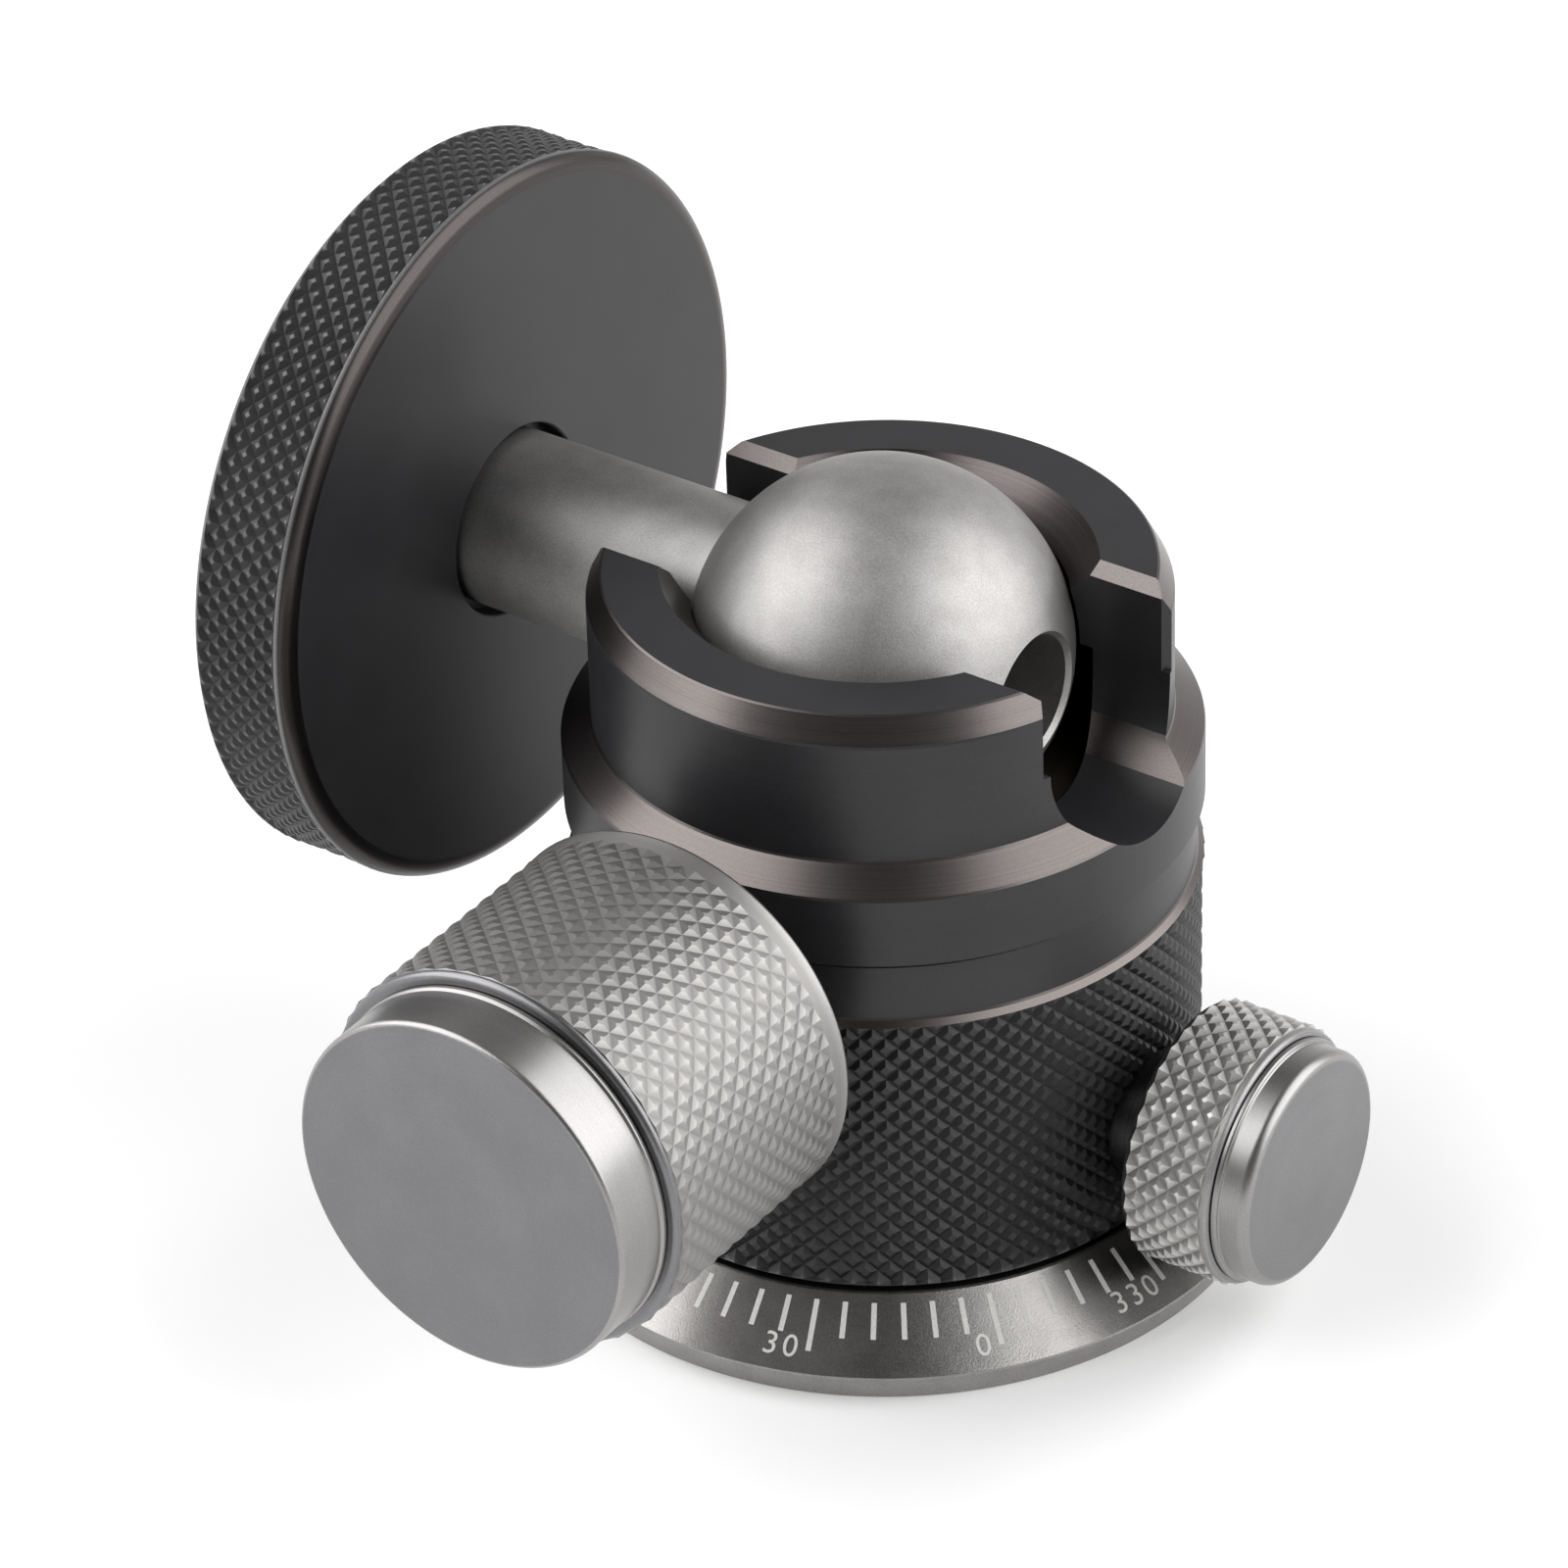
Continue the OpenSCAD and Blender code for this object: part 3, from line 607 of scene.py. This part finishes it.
def digit_mesh(digit):
    """One raised digit, standing on its baseline about its own middle."""
    text = bpy.data.curves.new("digit", "FONT")
    text.body = digit
    text.size = digit_h / 0.7
    text.extrude = mark_t / 2
    text.align_x = "CENTER"
    text.resolution_u = 4
    holder = bpy.data.objects.new("digit", text)
    bpy.context.scene.collection.objects.link(holder)
    mesh = bpy.data.meshes.new_from_object(holder.evaluated_get(bpy.context.evaluated_depsgraph_get()))
    bpy.data.objects.remove(holder)
    bpy.data.curves.remove(text)
    return mesh


def make_dial():
    """Painted marks and plain numbers on the graduated ring."""
    dial = bmesh.new()
    sunk = mark_proud - mark_t / 2
    for mark in range(360 // mark_step):
        azimuth = dial_zero - mark * mark_step
        length = mark_l if mark % marks_per_number else long_mark_l
        size = Matrix.Diagonal((mark_w, length, mark_t, 1))
        middle_of_mark = on_dial(azimuth, mark_top + length / 2) @ Matrix.Translation((0, 0, sunk))
        bmesh.ops.create_cube(dial, size=1, matrix=middle_of_mark @ size)
        if mark % marks_per_number:
            continue
        for place, digit in enumerate(reversed(str(mark * mark_step))):
            aside = mark_w / 2 + digit_gap + digit_pitch * (place + 0.5)
            turn = math.degrees(aside / (base_r - 1.5))
            mesh = digit_mesh(digit)
            mesh.transform(on_dial(azimuth - turn, digit_foot) @ Matrix.Translation((0, 0, sunk)))
            dial.from_mesh(mesh)
            bpy.data.meshes.remove(mesh)
    bmesh.ops.remove_doubles(dial, verts=dial.verts, dist=WELD)
    return piece(dial, "dial_marks", upright, [dial_paint("dial_paint")], "base")


# Knurl of the barrel
barrel_around = 80
barrel_pitch = 1.94
barrel_depth = 0.5
barrel_blunt = 0.45


def housing_blank():
    """Body as it leaves the lathe, before the ball's chamber and the slots."""
    neck_r = body_r - neck_depth
    outline = eased([
        (0, body_z), (body_r - body_edge, body_z), (body_r, body_z + body_edge),
        (body_r, barrel_z - neck_depth), (neck_r, barrel_z), (neck_r, neck_z - neck_groove),
        (neck_r - neck_groove, neck_z - neck_groove), (neck_r - neck_groove, neck_z), (body_r, neck_z),
        (body_r, flange_z), (collar_r, shoulder_z), (collar_r, top_z - collar_chamfer_h),
        (collar_r - collar_chamfer, top_z), (0, top_z)])
    return knurl(turned(outline, 2 * barrel_around, solid=True), body_r, body_z + body_edge,
                 barrel_z - neck_depth, barrel_around, barrel_pitch, barrel_depth, barrel_blunt)


def chamber_cutter():
    """Bores below the ball, its round chamber and the bevelled mouth."""
    seat_r = ball_r + ball_gap
    lip_angle = math.degrees(math.asin((top_z - mouth_h - ball_z) / seat_r))
    outline = [(0, body_z - 1), (case_bore_r, body_z - 1), (case_bore_r, plug_top_z),
               (cup_bore_r, plug_top_z), (cup_bore_r, ball_z)]
    outline += arc((0, ball_z), seat_r, 0, lip_angle, 8)
    outline += [(mouth_r, top_z), (mouth_r, top_z + 1), (0, top_z + 1)]
    return turned(outline, 160, solid=True)


def slot_cutter():
    """Slot for the stem, right across the collar, with a round floor and flared rims."""
    floor = [(-body_r - 1, y, z) for y, z in arc((0, ball_z), slot_half, 180, 360, 32)]
    flare = slot_half + slot_chamfer + 1
    rims = [(-body_r - 1, side * across, height) for side, across, height in (
        (1, slot_half, top_z - slot_chamfer), (1, flare, top_z + 1),
        (-1, flare, top_z + 1), (-1, slot_half, top_z - slot_chamfer))]
    return extruded(floor + rims, (2 * body_r + 2, 0, 0))


def slot_corner_cutter():
    """Bevels on the four upright edges where the slot meets the collar."""
    edge_x = math.sqrt(collar_r ** 2 - slot_half ** 2)
    inside = slot_half - 0.5
    corners = [(edge_x - 1.25 * slot_chamfer, inside, ball_z), (edge_x + slot_chamfer, inside, ball_z),
               (edge_x + slot_chamfer, slot_half + 2 * slot_chamfer, ball_z)]
    shape = extruded(corners, (0, 0, top_z + 1 - ball_z))
    for axis in "XY":
        bmesh.ops.mirror(shape, geom=shape.verts[:] + shape.edges[:] + shape.faces[:], matrix=Matrix(),
                         merge_dist=-1, axis=axis)
    bmesh.ops.recalc_face_normals(shape, faces=shape.faces)
    return shape


def bush_seat_cutters():
    """Stepped holes for the lock pin and its bush, and for the brake shoe and its bush."""
    lock = turned([(0, cup_bore_r - 1), (pin_hole_r, cup_bore_r - 1), (pin_hole_r, lock_bush_end),
                   (lock_bush_shank_r, lock_bush_end), (lock_bush_shank_r, lock_bush_seat),
                   (lock_bush_r, lock_bush_seat), (lock_bush_r, body_r + 1), (0, body_r + 1)], 64, solid=True)
    lock.transform(toward_lock.matrix())
    pan = turned([(0, case_bore_r - 1), (shoe_hole_r, case_bore_r - 1), (shoe_hole_r, pan_bush_end),
                  (pan_bush_r, pan_bush_end), (pan_bush_r, body_r + 1), (0, body_r + 1)], 48, solid=True)
    pan.transform(toward_pan.matrix())
    return joined(lock, pan)


def mark_housing_faces(shape):
    """Gives the cut chamfers, the knurl and the mouth's bevel of the housing their own finishes."""
    cut, knurled, skinned = 1, 2, 3
    for face in shape.faces:
        middle_point = face.calc_center_median()
        outward = middle_point.xy.length
        up = face.normal.z
        height = middle_point.z
        slanted = 0.3 < up < 0.95
        on_top = height > top_z - collar_chamfer_h - 0.1 and outward > mouth_r + 0.2
        on_shoulder = flange_z - 0.1 < height < shoulder_z + 0.1
        on_barrel_top = barrel_z - neck_depth - 0.05 < height < barrel_z + 0.1
        in_mouth = slanted and height > top_z - mouth_h and outward < mouth_r + 0.1
        if slanted and (on_top or on_shoulder or on_barrel_top):
            face.material_index = cut
        elif in_mouth:
            face.material_index = skinned
        elif height < barrel_z - neck_depth and body_r - barrel_depth - 0.1 < outward < body_r + 0.1:
            face.material_index = knurled
        else:
            face.material_index = 0


def make_housing():
    """One-piece body: knurled barrel, neck, flange, shoulder and the slotted collar round the ball."""
    shape = cut_away(housing_blank(), chamber_cutter(), slot_cutter(), slot_corner_cutter(),
                     bush_seat_cutters())
    shape.normal_update()
    mark_housing_faces(shape)
    finishes = [black_anodised("housing_black", upright), cut_edge("housing_chamfer", upright),
                black_knurl("barrel_knurl", upright, body_r, barrel_depth),
                cut_edge("mouth_bevel", upright, *SKINNED_EDGE)]
    return piece(shape, "housing", upright, finishes, "housing", ["ball_housing"])


def make_ball():
    """Ball and stem, turned from one bar about the stem's axis, with the tool bore opposite the stem."""
    inward = math.sqrt(ball_r ** 2 - tool_bore_r ** 2) - tool_bore_edge - tool_bore_r
    rim_r = (math.sqrt(2 * ball_r ** 2 - inward ** 2) - inward) / 2
    stem_angle = 90 - math.degrees(math.asin(stem_r / ball_r))
    rim_angle = math.degrees(math.asin(rim_r / ball_r)) - 90
    outline = [(bolt_hole_r, stem_end), (stem_r - 0.3, stem_end), (stem_r, stem_end - 0.3)]
    outline += arc((0, 0), ball_r, stem_angle, rim_angle, 96)
    outline += [(tool_bore_r, -rim_r - inward + rim_r - tool_bore_r), (tool_bore_r, -tool_bore_floor),
                (bolt_hole_r, -tool_bore_floor)]
    titanium = blasted_titanium("ball_titanium", toward_platform, (0.285, 0.277, 0.271),
                                (0.385, 0.376, 0.369), 0.46)
    return piece(turned(outline, 192), "ball_and_stem", toward_platform, [titanium], "ball",
                 ["ball_stem"])


# Knurl of the platform's rim
rim_around = 96
rim_pitch = 1.83
rim_depth = 0.4
rim_blunt = 0.24
# Roundness of the platform's lower edge
platform_edge_r = 1.7


def make_platform():
    """Round camera platform with a knurled rim, a rounded lower edge and the recess for the stem."""
    foot_r = stem_r + foot_gap
    stud_hole_r = stud_root_r + 0.05
    rim_low = platform_low + platform_chamfer
    lower_edge = [(platform_r - platform_edge_r * (1 - math.sin(a)), rim_low - platform_chamfer * math.cos(a))
                  for a in [math.radians(angle) for angle in range(0, 85, 7)]]
    inside = eased([
        (0, bolt_hole_end), (bolt_hole_r, bolt_hole_end), (bolt_hole_r, platform_low + foot_depth),
        (foot_r, platform_low + foot_depth), (foot_r, platform_low), (platform_r - 3, platform_low)])[:-2]
    outside = eased([
        (platform_r, rim_low), (platform_r, platform_top - platform_top_edge),
        (platform_r - platform_top_edge, platform_top), (pad_r + 0.05, platform_top),
        (pad_r + 0.05, pad_floor), (stud_hole_r, pad_floor), (stud_hole_r, stud_floor), (0, stud_floor)])[1:]
    shape = turned(inside + lower_edge + outside, 2 * rim_around, solid=True)
    knurl(shape, platform_r, rim_low, platform_top - platform_top_edge, rim_around, rim_pitch, rim_depth,
          rim_blunt)
    cut, knurled = 1, 2
    for face in shape.faces:
        middle_point = face.calc_center_median()
        outward = middle_point.xy.length
        if outward > platform_r - rim_depth - 0.1 and abs(face.normal.z) < 0.6:
            face.material_index = knurled
        elif outward > platform_r - platform_edge_r and middle_point.z < rim_low + 0.1:
            face.material_index = cut
    finishes = [black_anodised("platform_black", toward_platform),
                cut_edge("platform_edge", toward_platform, *PLATFORM_EDGE),
                black_knurl("rim_knurl", toward_platform, platform_r, rim_depth, (0.230, 0.224, 0.224))]
    return piece(shape, "platform_plate", toward_platform, finishes, "camera_plate",
                 ["platform"])


# Ridges of the pad
ridge_pitch = 1.5
ridge_depth = 0.3
ridge_first_r = 6.4


def make_pad():
    """Rubber pad with round ridges that grip the camera."""
    outline = [(stud_root_r + 0.3, pad_floor), (stud_root_r + 0.3, pad_top)]
    radius = ridge_first_r
    while radius + ridge_pitch < pad_r - 0.4:
        outline += [(radius, pad_top), (radius + 0.15, pad_top - ridge_depth),
                    (radius + 0.45, pad_top - ridge_depth), (radius + 0.6, pad_top)]
        radius += ridge_pitch
    outline += [(pad_r - 0.25, pad_top), (pad_r, pad_top - 0.25), (pad_r, pad_floor)]
    return piece(turned(outline, 192), "ridged_pad", toward_platform, [pad_rubber("pad_rubber_finish")],
                 "camera_plate", ["platform_pad"])


def make_stud():
    """Camera stud with its thread."""
    thread_pitch = 1.27
    tip_chamfer = 0.6
    thread = threaded(stud_r, thread_pitch, pad_top - 0.4, stud_tip)
    for vert in thread.verts:
        limit = stud_r - max(0, vert.co.z - (stud_tip - tip_chamfer))
        if vert.co.xy.length > limit:
            vert.co.xy *= limit / vert.co.xy.length
    root = turned(eased([(0, stud_floor), (stud_root_r, stud_floor), (stud_root_r, pad_top), (0, pad_top)]),
                  64, solid=True)
    steel = plain_metal("stud_steel", (0.42, 0.41, 0.40), (0.58, 0.57, 0.56), 0.22, toward_platform)
    return piece(joined(root, thread), "threaded_stud", toward_platform, [steel], "camera_plate",
                 ["camera_stud"])


def make_thread_bush():
    """Brass bush with the tripod thread."""
    bush_r = span("thread_bush", X)[1]
    bush_l = span("thread_bush", Z)[1]
    thread_r = 4.76
    thread_pitch = 1.5875
    blank = turned(eased([(0, 0), (bush_r, 0), (bush_r, bush_l), (0, bush_l)]), 80, solid=True)
    shape = cut_away(blank, threaded(thread_r, thread_pitch, -1, bush_l + 1))
    brass = plain_metal("bush_brass", (0.52, 0.38, 0.16), (0.66, 0.50, 0.24), 0.24)
    return piece(shape, "threaded_bush", upright, [brass], "base", ["thread_bush"])


# Knurls of the two knobs
lock_around = 47
lock_pitch = 2
lock_depth = 0.16
lock_blunt = 0.26
pan_around = 34
pan_pitch = 1.83
pan_depth = 0.36
pan_blunt = 0.28
# Where a knurl runs out, the plain surface beside it starts at the bottom of its grooves
run_out = 0.06


def mark_knurl(shape, radius, depth, low, high):
    """Gives the knurl, and a plain rim beside it, the second finish between two heights; the plain rim so takes
    the knurl's lighter colour as a painted highlight.
    """
    for face in shape.faces:
        middle_point = face.calc_center_median()
        on_side = middle_point.xy.length > radius - depth - 0.1
        face.material_index = int(on_side and low < middle_point.z < high)


def make_lock_knob():
    """Large knurled knob of the ball lock, with a plain flared rim at its back."""
    knurl_low = lock_back + lock_rim_l
    knurl_high = lock_front - lock_edge
    plain_r = lock_r - lock_depth
    back_edge = arc((lock_r - lock_rim_edge, lock_back + lock_rim_edge), lock_rim_edge, -90, 0, 12)
    front_edge = arc((plain_r - lock_edge + run_out, lock_front - lock_edge + run_out), lock_edge - run_out, 0,
                     90, 12)
    outline = [(lock_bore_r, lock_back)] + back_edge + [
        (lock_r - lock_rim_flare, knurl_low - run_out), (lock_r, knurl_low), (lock_r, knurl_high)]
    outline += front_edge + [
        (lock_recess_r, lock_front), (lock_recess_r, lock_back + lock_web), (lock_bore_r, lock_back + lock_web)]
    shape = turned(outline, 2 * lock_around)
    knurl(shape, lock_r, knurl_low, knurl_high, lock_around, lock_pitch, lock_depth, lock_blunt)
    # The plain back rim shares the knurl's lighter finish: a painted highlight
    mark_knurl(shape, lock_r, lock_rim_flare, lock_back, knurl_high)
    finishes = [silver_satin("lock_satin", toward_lock, *LOCK_SILVER),
                silver_knurl("lock_knurl", toward_lock, lock_r, lock_depth, *LOCK_KNURL)]
    return piece(shape, "lock_knob_knurled", toward_lock, finishes, "ball_lock",
                 ["lock_knob"])


def turned_cap(spigot_r, flange_r, side_r, seat, face, bevel):
    """Cap with a spigot, a thin round-edged flange that sits on the knob, a side and a bevelled face."""
    flange_top = seat + cap_flange_l
    flange_edge = arc((flange_r - cap_flange_round, flange_top - cap_flange_round), cap_flange_round, 0, 90, 12)
    face_edge = arc((side_r - bevel, face - bevel), bevel, 0, 90, 12)
    outline = [(0, seat - cap_spigot_l), (spigot_r, seat - cap_spigot_l), (spigot_r, seat + cap_gap),
               (flange_r, seat + cap_gap)]
    outline += flange_edge + [(side_r + cap_gap, flange_top), (side_r, flange_top + cap_gap)]
    outline += face_edge + [(0, face)]
    shape = turned(outline, 192, solid=True)
    shape.normal_update()
    # The sides take the second finish, the silver painted brighter as a highlight
    for side_face in shape.faces:
        side_face.material_index = int(abs(side_face.normal.z) < 0.95)
    return shape


def make_lock_cap():
    """Smooth cap on the front of the ball lock's knob."""
    shape = turned_cap(lock_recess_r - 0.05, lock_cap_r, lock_cap_side_r, lock_front, lock_face,
                       lock_cap_bevel)
    return piece(shape, "lock_cap_turned", toward_lock,
                 [silver_satin("lock_cap_satin", toward_lock, *LOCK_SILVER),
                  silver_satin("lock_cap_side", toward_lock, *CAP_SIDE_PAINTED_BRIGHT)], "ball_lock",
                 ["lock_cap"])


def make_pan_knob():
    """Small knurled knob of the pan lock, with a plain ring at its front."""
    knurl_low = pan_back + pan_edge
    knurl_high = pan_front - pan_lip_l
    lip_r = pan_r - pan_depth
    lip_edge = arc((lip_r - pan_edge, pan_front - pan_edge), pan_edge, 0, 90, 12)
    outline = [(pan_bore_r, pan_back), (pan_r - pan_edge, pan_back), (pan_r, knurl_low), (pan_r, knurl_high),
               (lip_r, knurl_high + run_out)]
    outline += lip_edge + [(pan_recess_r, pan_front), (pan_recess_r, pan_back + pan_web),
                           (pan_bore_r, pan_back + pan_web)]
    shape = turned(outline, 2 * pan_around)
    knurl(shape, pan_r, knurl_low, knurl_high, pan_around, pan_pitch, pan_depth, pan_blunt)
    # The plain front ring shares the knurl's lighter finish: a painted highlight
    mark_knurl(shape, pan_r, pan_depth, knurl_low, pan_front)
    # The pan knob's satin is the lock's silver painted lighter, as painted light
    finishes = [silver_satin("pan_satin", toward_pan, *PAN_SILVER_PAINTED_LIGHTER),
                silver_knurl("pan_knurl", toward_pan, pan_r, pan_depth, *PAN_KNURL)]
    return piece(shape, "pan_knob_knurled", toward_pan, finishes, "pan_lock", ["pan_knob"])


def make_pan_cap():
    """Cap on the front of the pan lock's knob, with a broad soft bevel."""
    shape = turned_cap(pan_recess_r - 0.05, pan_cap_r, pan_cap_side_r, pan_front, pan_face, pan_cap_bevel)
    # The pan cap's face is the lock's silver painted lighter, as painted light
    return piece(shape, "pan_cap_turned", toward_pan,
                 [silver_satin("pan_cap_satin", toward_pan, *PAN_SILVER_PAINTED_LIGHTER),
                  silver_satin("pan_cap_side", toward_pan, *CAP_SIDE_PAINTED_BRIGHT)], "pan_lock",
                 ["pan_cap"])


def finish_inner_nodes():
    """Gives the CAD nodes that keep their own shape their finishes."""
    steel = ((0.34, 0.34, 0.34), (0.48, 0.48, 0.47), 0.26)
    dark_steel = ((0.030, 0.030, 0.032), (0.055, 0.055, 0.058), 0.34)
    brass = ((0.46, 0.34, 0.15), (0.60, 0.46, 0.22), 0.30)
    metals = {
        "base_plate": ((0.035, 0.035, 0.037), (0.060, 0.059, 0.060), 0.36, upright),
        "base_screws": (*dark_steel, upright),
        "pan_spindle": (*steel, upright),
        "chamber_plug": (*dark_steel, upright),
        "retaining_ring": (*dark_steel, upright),
        "lock_bush": (*dark_steel, toward_lock),
        "pan_bush": (*dark_steel, toward_pan),
        "ball_cup": ((0.050, 0.042, 0.030), (0.075, 0.064, 0.048), 0.36, upright),
        "spring_washer": (*steel, upright),
        "lock_pin": (*steel, toward_lock),
        "lock_screw": (*steel, toward_lock),
        "lock_nut": (*steel, toward_lock),
        "brake_shoe": (*brass, toward_pan),
        "pan_screw": (*steel, toward_pan),
        "pan_nut": (*steel, toward_pan),
        "stem_bolt": (*dark_steel, toward_platform)}
    finishes = {node: plain_metal(node + "_finish", *recipe) for node, recipe in metals.items()}
    for node in ("thrust_washer", "friction_washer", "lock_washer", "pan_washer"):
        finishes[node] = washer_plastic(node + "_finish")
    for node, finish in finishes.items():
        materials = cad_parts[node].data.materials
        materials.clear()
        materials.append(finish)


# ---- Floor, light and camera ----
def make_floor():
    """Plain pale floor that keeps the object's shadow and looks white to the camera."""
    shape = bmesh.new()
    bmesh.ops.create_circle(shape, cap_ends=True, radius=4.0, segments=96)
    data = bpy.data.meshes.new("floor")
    shape.to_mesh(data)
    shape.free()
    floor = bpy.data.objects.new("floor", data)
    bpy.context.scene.collection.objects.link(floor)
    material, start = new_finish("pale_floor")
    camera, glossy, through = start.node("LightPath", output=("Is Camera Ray", "Is Glossy Ray",
                                                              "Is Transmission Ray"))
    seen = between(camera + glossy + through, 0, 1)
    paper = start.node("BsdfDiffuse", inputs={"Color": (0.86, 0.86, 0.86, 1)})
    glow = start.node("Emission", inputs={"Color": (1, 1, 1, 1), "Strength": seen * 0.18})
    both = start.node("AddShader", inputs={0: paper, 1: glow})
    start.node("OutputMaterial", inputs={"Surface": both})
    data.materials.append(material)


def softbox(name, azimuth, elevation, distance, width, height, radiance):
    """Area lamp that faces the head, with its power worked out from how bright its face is."""
    lamp = bpy.data.lights.new(name, "AREA")
    lamp.shape = "RECTANGLE"
    lamp.size = width
    lamp.size_y = height
    lamp.energy = radiance * math.pi * width * height
    holder = bpy.data.objects.new(name, lamp)
    bpy.context.scene.collection.objects.link(holder)
    target = Vector((0, 0, ball_z * MM))
    swing = Euler((0, -math.radians(elevation), math.radians(azimuth))).to_matrix()
    holder.location = target + swing @ Vector((distance, 0, 0))
    holder.rotation_euler = (holder.location - target).to_track_quat("Z", "Y").to_euler()
    holder.visible_camera = False


def make_light():
    """Two softboxes and a white surround, with a darker sector where the photographer stands."""
    softbox("softbox_left", -148, 39, 0.75, 0.95, 0.84, 3.4)
    softbox("softbox_right", 24, 35, 0.75, 1.15, 0.84, 3.1)
    world = bpy.data.worlds.new("studio")
    bpy.context.scene.world = world
    world.use_nodes = True
    world.node_tree.nodes.clear()
    start = Signal(world.node_tree)
    seen, glossy, through = start.node("LightPath", output=("Is Camera Ray", "Is Glossy Ray",
                                                            "Is Transmission Ray"))
    direction = start.node("TexCoord", output="Generated")
    x, y, z = direction.node("SeparateXYZ", inputs={"Vector": direction}, output=("X", "Y", "Z"))
    toward_camera = between(0.5 * x - 0.7 * y + 0.5 * z, 0.3, 0.8)
    ceiling = between(z, 0.1, 0.8)
    surround = (1 - 0.8 * ceiling) * (1 - 0.8 * toward_camera)
    mirrored = between(glossy + through, 0, 1)
    plain = 0.1
    level = seen + (1 - seen) * (mirrored * surround + (1 - mirrored) * plain)
    background = start.node("Background", inputs={"Color": (1, 1, 1, 1), "Strength": level})
    start.node("OutputWorld", inputs={"Surface": background})


def make_camera():
    """Camera at the photograph's place, found by fitting the circles of the turned pieces."""
    image_px = 1600
    focal_px = 7786.7
    sensor_mm = 36
    place = Vector((282.046, -407.326, 366.611)) * MM
    right = Vector((0.822884, 0.567592, -0.026485))
    up = Vector((-0.296096, 0.468123, 0.832579))
    back = right.cross(up)
    data = bpy.data.cameras.new("camera")
    data.sensor_width = sensor_mm
    data.lens = sensor_mm * focal_px / image_px
    data.clip_start = 0.01
    camera = bpy.data.objects.new("camera", data)
    bpy.context.scene.collection.objects.link(camera)
    camera.matrix_world = Matrix.Translation(place) @ Matrix((right, up, back)).transposed().to_4x4()
    bpy.context.scene.camera = camera


make_camera()
make_light()
make_floor()
make_base_ring()
make_dial()
make_housing()
make_ball()
make_platform()
make_pad()
make_stud()
make_thread_bush()
make_lock_knob()
make_lock_cap()
make_pan_knob()
make_pan_cap()
finish_inner_nodes()
bpy.context.scene.view_settings.view_transform = "Standard"
